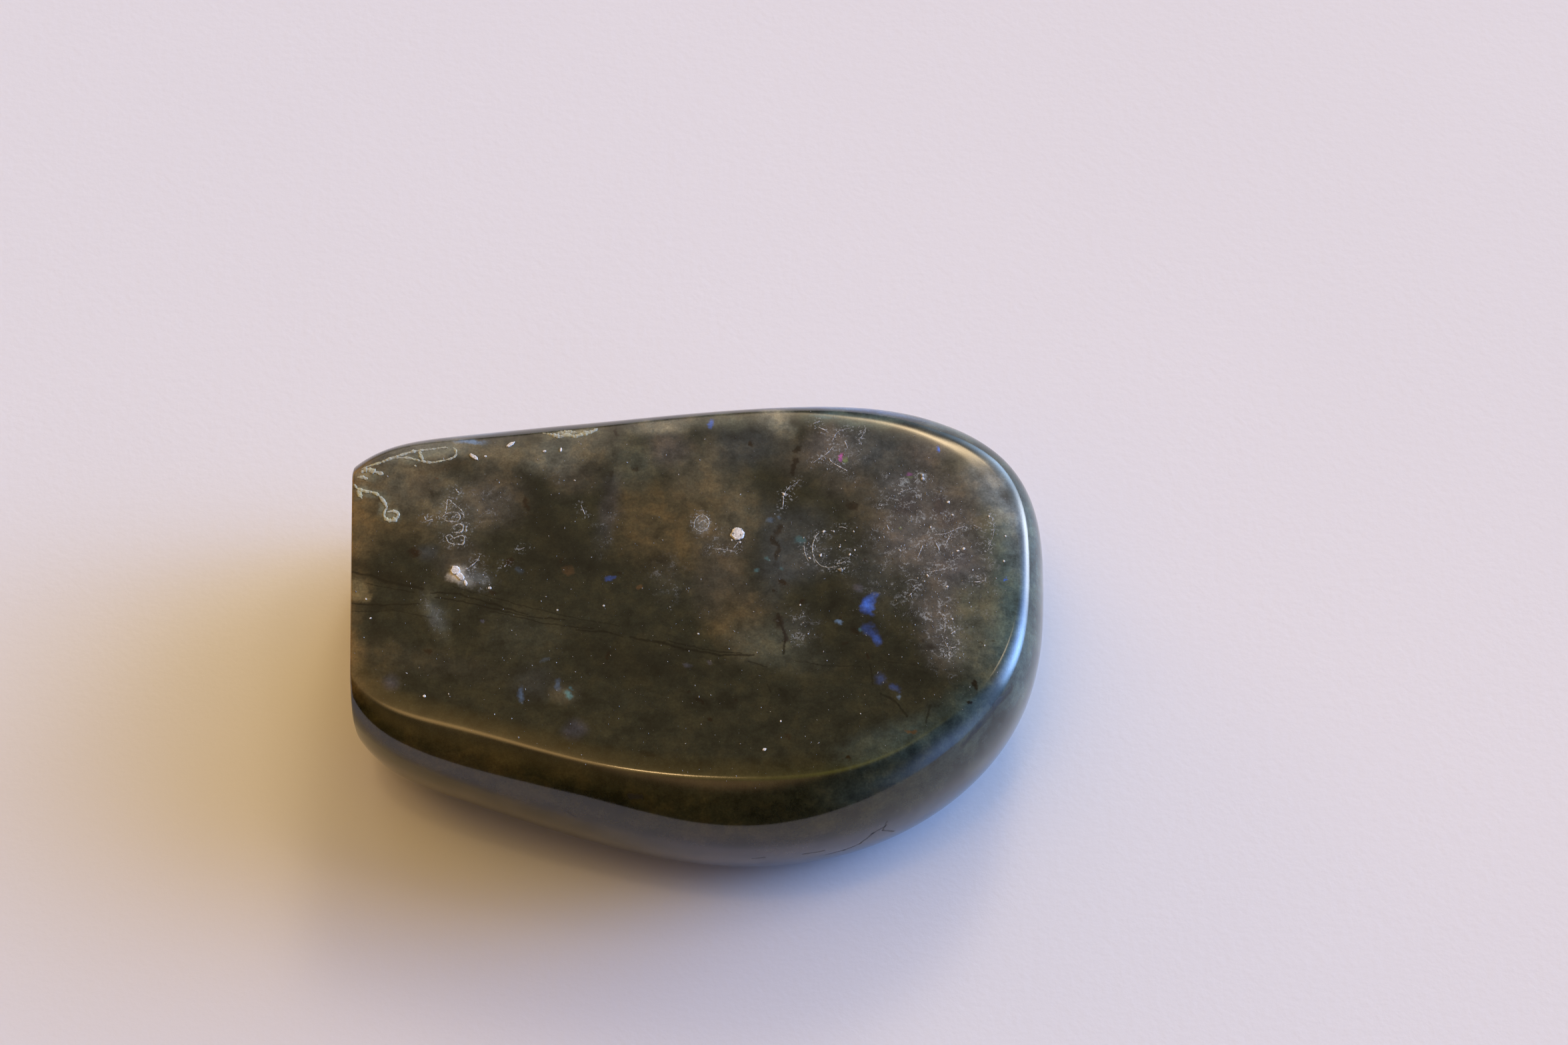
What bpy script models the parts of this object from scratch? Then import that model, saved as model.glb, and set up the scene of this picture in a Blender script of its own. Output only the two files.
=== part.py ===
"""A polished labradorite freeform: one stone with a flat polished top face that ends in a crisp edge,
a round polished wall, one sawn end and a smaller flat underside, on which it lies.

The stone is lofted: a smooth closed curve gives the edge of the top face, every ring below it follows
the wall's section down to the underside, and a saw cut then takes off the end at -X.

Metres, +Z up. X runs along the stone's length. The origin is on the resting plane, under the middle of
the stone's box.
"""

import math

import bmesh
import bpy
import numpy as np

MM = 0.001

# Driving dimensions, in millimetres.
THICKNESS = 22.0
EDGE_ROLL = 3.0  # width over which the top face rolls off towards its edge
EDGE_DROP = 0.25  # how far it has dropped at the edge
SAW_X = -40.0  # where the sawn end crosses the middle line Y = 0
SAW_BOX = (30.0, 90.0, 60.0)  # size of the block that the saw takes away

# Angles, in degrees.
SAW_YAW = 3.0  # turn of the sawn end about Z
SHOULDER_START = 22.0  # the wall's upper section is a quarter ellipse from this angle on
TUCK_END = 72.0  # its lower section is a quarter ellipse up to this angle
SHARP_ANGLE = 14.0  # edges that turn more than this are crisp

# Stations round the stone, counter-clockwise from the front corner of the sawn end, in millimetres: the
# place of the top face's edge, how far the wall bulges out past it, the height of the wall's widest
# line, and how far the wall tucks in again between that line and the underside.
STATIONS = (
    (-42.5, -5.5, 0.2, 16.0, 6.8),
    (-37.6, -13.8, 1.2, 16.0, 6.2),
    (-27.0, -18.2, 3.6, 15.5, 6.6),
    (-10.0, -23.2, 4.4, 14.5, 6.2),
    (7.0, -25.0, 5.2, 13.5, 5.8),
    (20.5, -23.4, 4.6, 13.5, 5.6),
    (31.5, -16.8, 4.2, 13.0, 5.2),
    (38.0, -7.2, 4.0, 13.5, 4.6),
    (39.8, 4.0, 3.6, 14.0, 4.2),
    (37.6, 15.8, 4.6, 15.5, 4.0),
    (29.0, 22.8, 4.6, 15.0, 4.0),
    (14.0, 25.0, 4.0, 14.0, 4.0),
    (-8.0, 22.9, 4.6, 14.0, 4.2),
    (-28.0, 20.2, 4.6, 14.0, 4.4),
    (-38.0, 18.0, 3.8, 13.5, 4.8),
    (-43.5, 12.0, 3.0, 13.5, 5.4),
    (-46.0, 3.0, 2.2, 14.5, 6.2),
)

# How finely the stone is faceted.
SPOKES = 120
EDGE_RINGS = 3
SHOULDER_RINGS = 8
TUCK_RINGS = 7

STONE_COLOUR = (0.045, 0.038, 0.020, 1.0)
STONE_ROUGHNESS = 0.12


def closed_curve(stations, count):
    """count points on the smooth closed curve through the stations, with all their values.

    It is a cubic spline over the distances between the stations, and its bending runs on without a
    jump everywhere, also from the last station to the first.
    """
    knots = np.array(stations)
    number = len(knots)
    gaps = np.linalg.norm(np.roll(knots, -1, axis=0)[:, :2] - knots[:, :2], axis=1)
    balance = np.zeros((number, number))
    pull = np.zeros_like(knots)
    for here in range(number):
        after = (here + 1) % number
        balance[here, here - 1] += gaps[here - 1]
        balance[here, here] += 2 * (gaps[here - 1] + gaps[here])
        balance[here, after] += gaps[here]
        rise_after = (knots[after] - knots[here]) / gaps[here]
        rise_before = (knots[here] - knots[here - 1]) / gaps[here - 1]
        pull[here] = 6 * (rise_after - rise_before)
    bending = np.linalg.solve(balance, pull)

    starts = np.concatenate([[0.0], np.cumsum(gaps)])
    along = np.linspace(0.0, starts[-1], count, endpoint=False)
    here = np.searchsorted(starts, along, side="right") - 1
    after = (here + 1) % number
    gap = gaps[here][:, None]
    done = along[:, None] - starts[here][:, None]
    left = gap - done
    bend = bending[here] * left**3 / (6 * gap) + bending[after] * done**3 / (6 * gap)
    line_here = (knots[here] / gap - bending[here] * gap / 6) * left
    line_after = (knots[after] / gap - bending[after] * gap / 6) * done
    return bend + line_here + line_after


def stone_rings():
    """The stone's rings from the flat of the top face down to the underside, in millimetres."""
    curve = closed_curve(STATIONS, SPOKES)
    edge = curve[:, :2]
    bulge, waist, tuck = curve[:, 2], curve[:, 3], curve[:, 4]
    along = np.roll(edge, -1, axis=0) - np.roll(edge, 1, axis=0)
    along /= np.linalg.norm(along, axis=1)[:, None]
    outward = np.stack([along[:, 1], -along[:, 0]], axis=1)

    def ring(offset, height):
        heights = np.broadcast_to(height, SPOKES)
        return np.column_stack([edge + outward * np.reshape(offset, (-1, 1)), heights])

    rings = []
    for share in np.linspace(1, 0, EDGE_RINGS, endpoint=False):
        rings.append(ring(-EDGE_ROLL * share, THICKNESS - EDGE_DROP * (1 - share) ** 2))

    edge_height = THICKNESS - EDGE_DROP
    start = math.radians(SHOULDER_START)
    for turn in np.linspace(start, math.pi / 2, SHOULDER_RINGS):
        offset = bulge * (math.sin(turn) - math.sin(start)) / (1 - math.sin(start))
        rings.append(ring(offset, waist + (edge_height - waist) * math.cos(turn) / math.cos(start)))

    end = math.radians(TUCK_END)
    for turn in np.linspace(0, end, TUCK_RINGS + 1)[1:]:
        offset = bulge - tuck * (1 - math.cos(turn)) / (1 - math.cos(end))
        rings.append(ring(offset, waist * (1 - math.sin(turn) / math.sin(end))))
    return rings


def loft(name, rings):
    """A closed mesh object through the rings, with a flat face on the first and the last of them."""
    shape = bmesh.new()
    loops = [[shape.verts.new(point * MM) for point in ring] for ring in rings]
    for upper, lower in zip(loops[:-1], loops[1:]):
        for here in range(len(upper)):
            after = (here + 1) % len(upper)
            shape.faces.new((upper[here], lower[here], lower[after], upper[after]))
    shape.faces.new(loops[0])
    shape.faces.new(reversed(loops[-1]))
    mesh = bpy.data.meshes.new(name)
    shape.to_mesh(mesh)
    shape.free()
    mesh.shade_smooth()
    mesh.set_sharp_from_angle(angle=math.radians(SHARP_ANGLE))
    return bpy.data.objects.new(name, mesh)


def polished_stone():
    """The dark olive finish of the stone."""
    material = bpy.data.materials.new("polished_labradorite")
    material.use_nodes = True
    shader = material.node_tree.nodes["Principled BSDF"]
    shader.inputs["Base Color"].default_value = STONE_COLOUR
    shader.inputs["Roughness"].default_value = STONE_ROUGHNESS
    shader.inputs["Metallic"].default_value = 0.0
    return material


def saw_block():
    """The block that the saw takes off, with its +X side on the plane of the sawn end."""
    bpy.ops.mesh.primitive_cube_add(size=1.0)
    block = bpy.context.object
    block.name = "saw_block"
    for corner in block.data.vertices:
        corner.co.x = (corner.co.x - 0.5) * SAW_BOX[0] * MM
        corner.co.y *= SAW_BOX[1] * MM
        corner.co.z *= SAW_BOX[2] * MM
    block.location = (SAW_X * MM, 0.0, THICKNESS / 2 * MM)
    block.rotation_euler.z = math.radians(SAW_YAW)
    block.hide_render = True
    block.display_type = "WIRE"
    return block


def saw_off(stone, block):
    """Cuts the stone with the block."""
    cut = stone.modifiers.new("saw_cut", "BOOLEAN")
    cut.operation = "DIFFERENCE"
    cut.solver = "EXACT"
    cut.object = block


def put_in(collection, thing):
    """Moves an object into a collection, out of any other."""
    for other in list(thing.users_collection):
        other.objects.unlink(thing)
    collection.objects.link(thing)


def new_collection(name):
    collection = bpy.data.collections.new(name)
    bpy.context.scene.collection.children.link(collection)
    return collection


def centre(anchor, stone):
    """Slides the anchor so that the origin is under the middle of the finished stone's box."""
    bpy.context.view_layer.update()
    finished = stone.evaluated_get(bpy.context.evaluated_depsgraph_get())
    corners = np.array([corner[:] for corner in finished.bound_box])
    middle = (corners.min(axis=0) + corners.max(axis=0)) / 2
    anchor.location = (-middle[0], -middle[1], 0.0)


def main():
    for thing in list(bpy.data.objects):
        bpy.data.objects.remove(thing)
    parts = new_collection("labradorite_freeform")
    cutters = new_collection("cutters")

    anchor = bpy.data.objects.new("stone_anchor", None)
    stone = loft("labradorite_stone", stone_rings())
    stone.data.materials.append(polished_stone())
    block = saw_block()
    put_in(parts, anchor)
    put_in(parts, stone)
    put_in(cutters, block)
    stone.parent = anchor
    block.parent = anchor

    saw_off(stone, block)
    centre(anchor, stone)
    bpy.context.view_layer.update()


main()
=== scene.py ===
import math

import bmesh
import bpy
import numpy as np
from bpy.props import FloatProperty, FloatVectorProperty, IntProperty, PointerProperty
from bpy.types import Operator, Panel, PropertyGroup
from mathutils import Matrix, Vector, noise
from mathutils.bvhtree import BVHTree


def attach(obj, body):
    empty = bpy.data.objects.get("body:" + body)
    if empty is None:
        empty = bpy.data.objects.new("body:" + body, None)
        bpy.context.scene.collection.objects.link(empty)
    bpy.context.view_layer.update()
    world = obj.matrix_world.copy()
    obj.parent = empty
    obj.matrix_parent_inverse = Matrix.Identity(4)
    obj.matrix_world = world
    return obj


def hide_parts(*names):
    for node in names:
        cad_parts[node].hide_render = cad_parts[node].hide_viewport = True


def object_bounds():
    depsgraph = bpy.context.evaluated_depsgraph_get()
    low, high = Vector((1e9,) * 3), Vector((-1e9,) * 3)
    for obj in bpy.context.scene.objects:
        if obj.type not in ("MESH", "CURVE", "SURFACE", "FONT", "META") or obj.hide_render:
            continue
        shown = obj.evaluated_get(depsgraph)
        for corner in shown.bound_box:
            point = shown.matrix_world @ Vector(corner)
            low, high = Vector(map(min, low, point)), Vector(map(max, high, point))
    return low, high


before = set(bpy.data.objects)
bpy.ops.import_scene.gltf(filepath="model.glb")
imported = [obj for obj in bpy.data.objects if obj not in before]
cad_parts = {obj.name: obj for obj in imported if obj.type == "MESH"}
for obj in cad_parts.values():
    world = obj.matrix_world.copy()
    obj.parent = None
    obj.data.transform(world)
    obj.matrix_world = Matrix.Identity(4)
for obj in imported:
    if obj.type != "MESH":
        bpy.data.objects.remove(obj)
cad_low, cad_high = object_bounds()

bl_info = {
    "name": "Polished Labradorite Freeform",
    "version": (1, 0, 0),
    "blender": (4, 5, 0),
    "location": "3D View > Sidebar > Labradorite",
    "description": "Builds a hand-size polished labradorite stone with a sawn end, with the dried crust, "
    "lint and dust that lie on it, and a pale table under soft light",
    "category": "Add Mesh",
}

MM = 0.001
FELDSPAR_IOR = 1.56
NODE = "labradorite_stone"
BODY = "root"
STONE = "stone_body"

# ---------------------------------------------------------------------------------------------------
# The stone's shape. Places are in millimetres.

# Stations round the stone, counter-clockwise from the front corner of the sawn end: the place of the
# top face's edge, how far the wall bulges out past it, the height of the wall's widest line, and how
# far the wall tucks in again between that line and the underside.
STATIONS = (
    (-42.5, -5.5, 0.9, 17.0, 7.2),
    (-37.6, -13.8, 2.4, 17.4, 6.8),
    (-27.0, -18.2, 4.2, 16.3, 7.6),
    (-10.0, -23.2, 4.4, 14.5, 6.2),
    (7.0, -25.0, 5.6, 14.2, 6.4),
    (20.5, -23.4, 4.6, 13.5, 5.6),
    (31.5, -16.8, 4.2, 13.0, 5.2),
    (38.0, -7.2, 4.0, 13.5, 4.6),
    (39.8, 4.0, 3.6, 14.0, 4.2),
    (37.2, 15.5, 4.6, 15.5, 4.0),
    (28.7, 22.4, 4.6, 15.0, 4.0),
    (14.0, 25.1, 3.4, 14.0, 4.0),
    (-8.0, 23.2, 3.4, 14.0, 4.2),
    (-28.0, 20.9, 3.4, 14.0, 4.4),
    (-38.0, 18.6, 2.9, 13.5, 4.8),
    (-43.5, 12.0, 3.0, 13.5, 5.4),
    (-46.0, 3.0, 2.2, 14.5, 6.2),
)
# A point of the saw cut, the cut's turn about Z, and the steps that round its worn edge, in degrees.
SAW_POINT = (-40.0, 0.0)
SAW_YAW = math.radians(3.0)
SAW_EDGE_TURNS = (90.0, 67.5, 45.0, 22.5, 0.0)

# Where the wall's round sections begin below the rim and end above the underside.
SHOULDER_START = math.radians(22.0)
TUCK_END = math.radians(72.0)

# The height at which the wall's colours begin to give way to the top face's, and over how much height.
FACE_COLOUR_START = 20.4
FACE_COLOUR_BLEND = 1.2

# How finely the stone is meshed: points to a ring, and rings in each of its sections.
SPOKES = 432
FACE_RINGS = 46
ROLL_RINGS = 9
RIM_RINGS = 5
SHOULDER_RINGS = 24
TUCK_RINGS = 26
UNDERSIDE_RINGS = 24
SAWN_RINGS = 12

# ---------------------------------------------------------------------------------------------------
# What lies in the stone. Each place is (x, y) on the top face in millimetres.

# Broad clouds of colour in the top face, and at the sawn end a painted glow of the warm light that the edge
# lets through: place, length, width, turn in degrees, colour, share.
CLOUDS = (
    # Painted glow: the warm light that the sawn edge lets through, put into the colour.
    (-41.0, 11.5, 3.6, 15.0, 0, "painted_edge_glow", 0.80),
    (-39.0, 12.0, 6.0, 9.0, 0, "gold", 0.80),
    (-40.6, 0.6, 3.0, 4.0, 0, "gold", 0.60),
    # Painted glow at the sawn end's front corner, as above.
    (-41.0, -8.5, 3.2, 13.0, 6, "painted_edge_glow", 0.75),
    (-37.5, -9.5, 5.0, 7.0, 0, "gold", 0.30),
    (-32.5, 20.3, 11.0, 3.2, 10, "ash", 0.70),
    (-35.5, 16.0, 9.0, 7.0, 8, "haze", 0.72),
    (-29.5, 12.5, 9.0, 8.0, 0, "haze", 0.68),
    (-33.5, 15.5, 3.0, 4.0, 0, "rust", 0.25),
    (-30.5, 18.3, 4.0, 1.6, 10, "rust", 0.25),
    (-34.2, 9.5, 5.0, 4.5, 0, "gold", 0.45),
    (-23.8, 19.8, 8.0, 4.2, 4, "haze", 0.80),
    (-24.5, 13.8, 7.0, 7.0, 20, "smoke", 0.80),
    (-16.8, 19.6, 6.5, 4.6, 10, "ash", 0.62),
    (-12.0, 21.0, 6.0, 4.0, 0, "haze", 0.80),
    (-14.5, 16.6, 6.0, 4.5, 0, "smoke", 0.55),
    (-7.5, 18.5, 5.0, 7.0, 0, "mist", 0.50),
    (-3.5, 20.5, 5.0, 5.0, 0, "rose", 0.70),
    (0.8, 16.5, 7.0, 8.0, -20, "haze", 0.62),
    (-7.2, 12.0, 6.0, 7.0, 10, "gold", 0.66),
    (0.0, 12.0, 10.0, 8.0, 0, "gold", 0.62),
    (5.0, 11.5, 5.0, 8.0, 0, "haze", 0.55),
    (-2.5, 7.0, 12.0, 6.5, 0, "gold", 0.62),
    (3.4, 5.0, 6.0, 7.0, 0, "smoke", 0.60),
    (3.8, 0.0, 8.0, 6.0, -30, "smoke", 0.60),
    (4.8, -3.4, 5.5, 7.5, 15, "gold", 0.70),
    (8.3, -6.0, 7.0, 5.0, -12, "mist", 0.55),
    (12.6, -8.4, 8.0, 3.6, -8, "mist", 0.32),
    (9.3, 6.0, 3.8, 13.0, 4, "slate", 0.62),
    (12.0, 5.0, 6.0, 6.0, 0, "slate", 0.80),
    (12.3, 10.0, 6.0, 5.0, 0, "slate", 0.55),
    (6.0, 21.0, 9.0, 6.0, 0, "slate", 0.70),
    (12.0, 19.0, 4.0, 6.0, 0, "smoke", 0.60),
    (16.5, 21.0, 6.0, 6.0, 0, "rose", 0.95),
    (21.8, 20.5, 8.0, 6.5, -8, "slate", 1.00),
    (18.5, 15.8, 6.5, 4.5, 0, "smoke", 0.75),
    (20.5, 12.0, 5.0, 5.0, 0, "smoke", 0.45),
    (28.0, 20.0, 5.0, 5.0, -20, "rose", 0.80),
    (32.5, 16.5, 5.0, 6.0, 30, "haze", 0.70),
    (24.5, 15.6, 5.0, 4.0, 0, "slate", 0.80),
    (28.5, 13.0, 11.0, 9.0, 0, "rose", 0.68),
    (26.5, 7.2, 9.0, 7.0, 0, "rose", 0.85),
    (32.5, 8.0, 7.0, 9.0, 0, "rose", 0.60),
    (36.2, 8.0, 4.6, 10.0, 10, "mist", 0.80),
    (25.5, 12.5, 2.6, 2.4, 0, "plum", 0.75),
    (29.4, 12.2, 1.9, 2.8, 10, "plum", 0.75),
    (30.3, 10.1, 1.8, 1.2, 0, "plum", 0.55),
    (36.4, 13.8, 4.0, 9.0, 28, "frost", 0.34),
    (38.3, 6.5, 2.4, 10.0, 5, "frost", 0.24),
    (32.0, 3.6, 6.0, 5.0, 0, "violet", 0.55),
    (33.2, -1.5, 6.5, 9.0, 0, "mist", 0.75),
    (28.6, 1.0, 4.6, 9.0, 0, "rose", 0.50),
    (29.2, -4.6, 5.0, 8.0, 12, "rose", 0.55),
    (33.4, -7.0, 5.5, 8.0, 20, "mist", 0.85),
    (37.6, 0.0, 3.8, 18.0, 4, "teal", 0.80),
    (37.0, -7.5, 4.0, 9.0, 14, "teal", 0.75),
    (33.0, -14.0, 5.0, 5.0, 50, "teal", 0.55),
    (25.0, -18.8, 14.0, 4.4, 22, "teal", 0.40),
    (20.5, 3.0, 6.0, 6.0, 0, "slate", 0.30),
    (10.0, 24.5, 4.2, 4.2, 0, "ash", 0.75),
    (3.5, 24.6, 7.0, 2.4, 4, "mist", 0.80),
    (-4.5, 24.0, 7.0, 2.4, 4, "ash", 0.70),
    (19.0, 25.2, 10.0, 2.2, -4, "teal", 0.80),
    (-32.3, 6.3, 2.4, 2.0, 0, "slate", 0.70),
    (-28.5, 5.2, 4.6, 5.0, 0, "smoke", 0.60),
    (-31.0, -2.4, 2.2, 7.0, 22, "mist", 0.42),
    (-35.8, -11.4, 1.9, 1.7, 0, "violet", 0.45),
    (-20.0, -5.5, 9.0, 5.0, -10, "mist", 0.16),
    (-19.0, -11.5, 5.0, 4.0, 0, "slate", 0.35),
    (-15.0, -13.0, 2.8, 2.4, 0, "haze", 0.35),
    (-13.9, -18.0, 2.2, 2.2, 0, "violet", 0.50),
    (-10.3, 13.0, 2.2, 9.0, -8, "violet", 0.25),
    (-18.6, 10.5, 4.0, 9.0, 28, "shade", 0.60),
    (-16.0, 5.5, 9.0, 6.0, 10, "shade", 0.45),
    (-10.0, 4.0, 7.0, 4.0, 0, "shade", 0.25),
    (11.0, 15.0, 5.0, 5.0, 0, "shade", 0.35),
    (12.3, 23.5, 1.3, 4.0, 4, "shade", 0.60),
    (21.0, -9.0, 18.0, 5.5, -6, "shade", 0.40),
    (-7.0, -8.6, 16.0, 4.5, -10, "shade", 0.55),
    (-37.0, 2.8, 9.0, 2.0, -20, "shade", 0.85),
    (-37.5, -1.2, 9.0, 1.5, -4, "shade", 0.45),
    (-38.0, -15.4, 8.0, 1.4, -22, "shade", 0.65),
    (17.0, -1.0, 6.0, 7.0, 0, "shade", 0.35),
    (-30.5, -9.0, 14.0, 3.0, -12, "smoke", 0.16),
)

# Seed of the way in which the borders of all clouds wander.
CLOUD_SEED = 102

# Clouds of colour in the wall, with a painted reflection of the pale table and painted shade on its lower
# front: place and height, length, height of the cloud, colour, share.
WALL_CLOUDS = (
    # The lagoon, sky and royal clouds along the back rim are the blue flash, painted in as a sheen.
    (18.0, 28.5, 20.0, 13.0, 5.0, "lagoon", 0.75),
    (28.0, 25.5, 19.6, 12.0, 5.0, "teal", 0.90),
    (-27.0, 23.5, 20.0, 6.0, 4.0, "sky", 0.50),
    (39.0, 8.0, 18.0, 16.0, 9.0, "teal", 0.80),
    (38.5, -7.0, 18.5, 10.0, 7.0, "teal", 0.70),
    (32.0, -16.0, 20.0, 9.0, 3.6, "teal", 0.25),
    (20.0, -24.5, 20.4, 9.0, 2.4, "teal", 0.22),
    (18.0, 27.2, 20.6, 16.0, 3.0, "royal", 0.35),
    # Painted reflection: the lower front wall made violet-grey, as the pale table mirrored in it.
    (12.0, -27.0, 8.0, 46.0, 11.0, "violet", 0.60),
    (10.0, -27.0, 19.6, 7.0, 2.4, "shade", 0.50),
    (5.0, -28.5, 14.0, 16.0, 6.0, "plum", 0.45),
    (-29.0, -20.0, 19.0, 16.0, 3.6, "gold", 0.30),
    # Painted shade: the lower wall at the front left darkened to red-brown, where it mirrors the shadow
    # under the stone.
    (-25.0, -21.5, 12.0, 24.0, 8.0, "plum", 0.55),
    (-40.0, -15.0, 14.0, 9.0, 7.0, "olive", 0.60),
    (-12.0, -26.0, 19.0, 10.0, 2.0, "shade", 0.50),
)

# Small grains and chips: place, length, width, turn in degrees, colour, share.
GRAINS = (
    (-40.7, 0.9, 2.6, 2.7, 15, "chip", 0.95),
    (-39.6, -0.1, 1.6, 1.3, 0, "chip", 0.70),
    (-33.8, 6.2, 1.5, 1.3, 0, "umber", 0.95),
    (-20.5, 12.7, 0.8, 1.9, 8, "umber", 0.80),
    (-22.4, 4.6, 1.1, 1.0, 0, "umber", 0.90),
    (-24.0, 0.4, 0.9, 0.6, 0, "umber", 0.70),
    (-31.3, -7.5, 0.9, 0.6, 30, "umber", 0.75),
    (-15.1, 3.5, 1.2, 1.2, 0, "rust", 0.55),
    (-16.0, 4.7, 0.6, 0.9, 0, "umber", 0.70),
    (-6.3, 1.4, 0.9, 0.5, -15, "rust", 0.80),
    (-9.3, 3.1, 0.5, 0.5, 0, "umber", 0.65),
    (-10.1, -7.9, 0.4, 1.0, 5, "umber", 0.80),
    (-9.9, 22.8, 0.5, 1.1, 0, "umber", 0.90),
    (-7.6, 17.8, 0.9, 0.6, 20, "umber", 0.60),
    (-10.7, 16.9, 0.7, 0.9, 0, "umber", 0.55),
    (6.5, 21.5, 0.6, 1.0, 10, "umber", 0.85),
    (12.4, 20.4, 0.6, 1.2, -10, "umber", 0.80),
    (11.8, 18.3, 0.7, 2.1, 4, "umber", 0.85),
    (11.8, 17.1, 0.5, 0.8, 0, "umber", 0.75),
    (18.9, 12.7, 1.7, 1.0, -30, "umber", 0.80),
    (25.5, 12.6, 2.6, 2.7, 0, "plum", 0.62),
    (29.5, 12.6, 1.9, 3.0, 10, "plum", 0.70),
    (30.4, 10.4, 1.6, 1.2, 0, "plum", 0.60),
    (9.9, 9.0, 0.9, 1.6, 0, "umber", 0.70),
    (9.6, 7.6, 0.7, 1.6, 8, "umber", 0.75),
    (9.8, 6.0, 0.6, 1.6, 0, "umber", 0.70),
    (10.0, -3.6, 0.9, 2.0, 8, "umber", 0.75),
    (10.4, -5.6, 0.7, 1.8, -5, "umber", 0.80),
    (10.5, 1.8, 1.0, 0.5, -20, "umber", 0.85),
    (9.5, 0.5, 0.6, 0.5, 0, "umber", 0.70),
    (12.7, -0.9, 0.7, 0.6, 0, "umber", 0.90),
    (20.4, 4.8, 0.6, 0.7, 0, "umber", 0.75),
    (17.3, -2.8, 0.5, 0.6, 0, "umber", 0.70),
    (19.0, -4.6, 1.2, 0.9, 0, "umber", 0.75),
    (17.8, -6.2, 0.6, 0.5, 0, "umber", 0.60),
    (20.6, -7.8, 0.5, 0.9, 0, "umber", 0.80),
    (28.0, -7.0, 1.0, 0.7, 20, "umber", 0.60),
    (26.9, -6.3, 0.6, 0.5, 0, "umber", 0.55),
    (25.5, -17.9, 1.2, 0.5, -20, "rust", 0.75),
    (33.0, -11.8, 0.6, 1.3, 15, "umber", 0.85),
    (32.3, -13.8, 0.6, 0.5, 0, "umber", 0.85),
    (34.2, -6.0, 0.7, 0.4, 0, "umber", 0.50),
    (35.4, -5.7, 0.5, 0.4, 0, "umber", 0.50),
    (11.0, -18.5, 0.7, 0.6, 0, "umber", 0.60),
    (17.7, -21.4, 0.8, 0.7, 0, "umber", 0.90),
    (-0.6, -13.0, 0.5, 0.5, 0, "umber", 0.60),
    (0.6, -14.1, 0.7, 0.4, -40, "umber", 0.75),
    (1.9, -16.6, 0.7, 0.4, -20, "umber", 0.85),
    (5.2, -14.0, 0.4, 0.5, 0, "umber", 0.60),
    (-5.5, -20.9, 1.5, 0.7, 0, "shade", 0.80),
    (-31.6, 16.8, 0.5, 0.4, 0, "rust", 0.60),
    (-41.9, 16.2, 0.6, 0.5, 0, "rust", 0.70),
)
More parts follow.
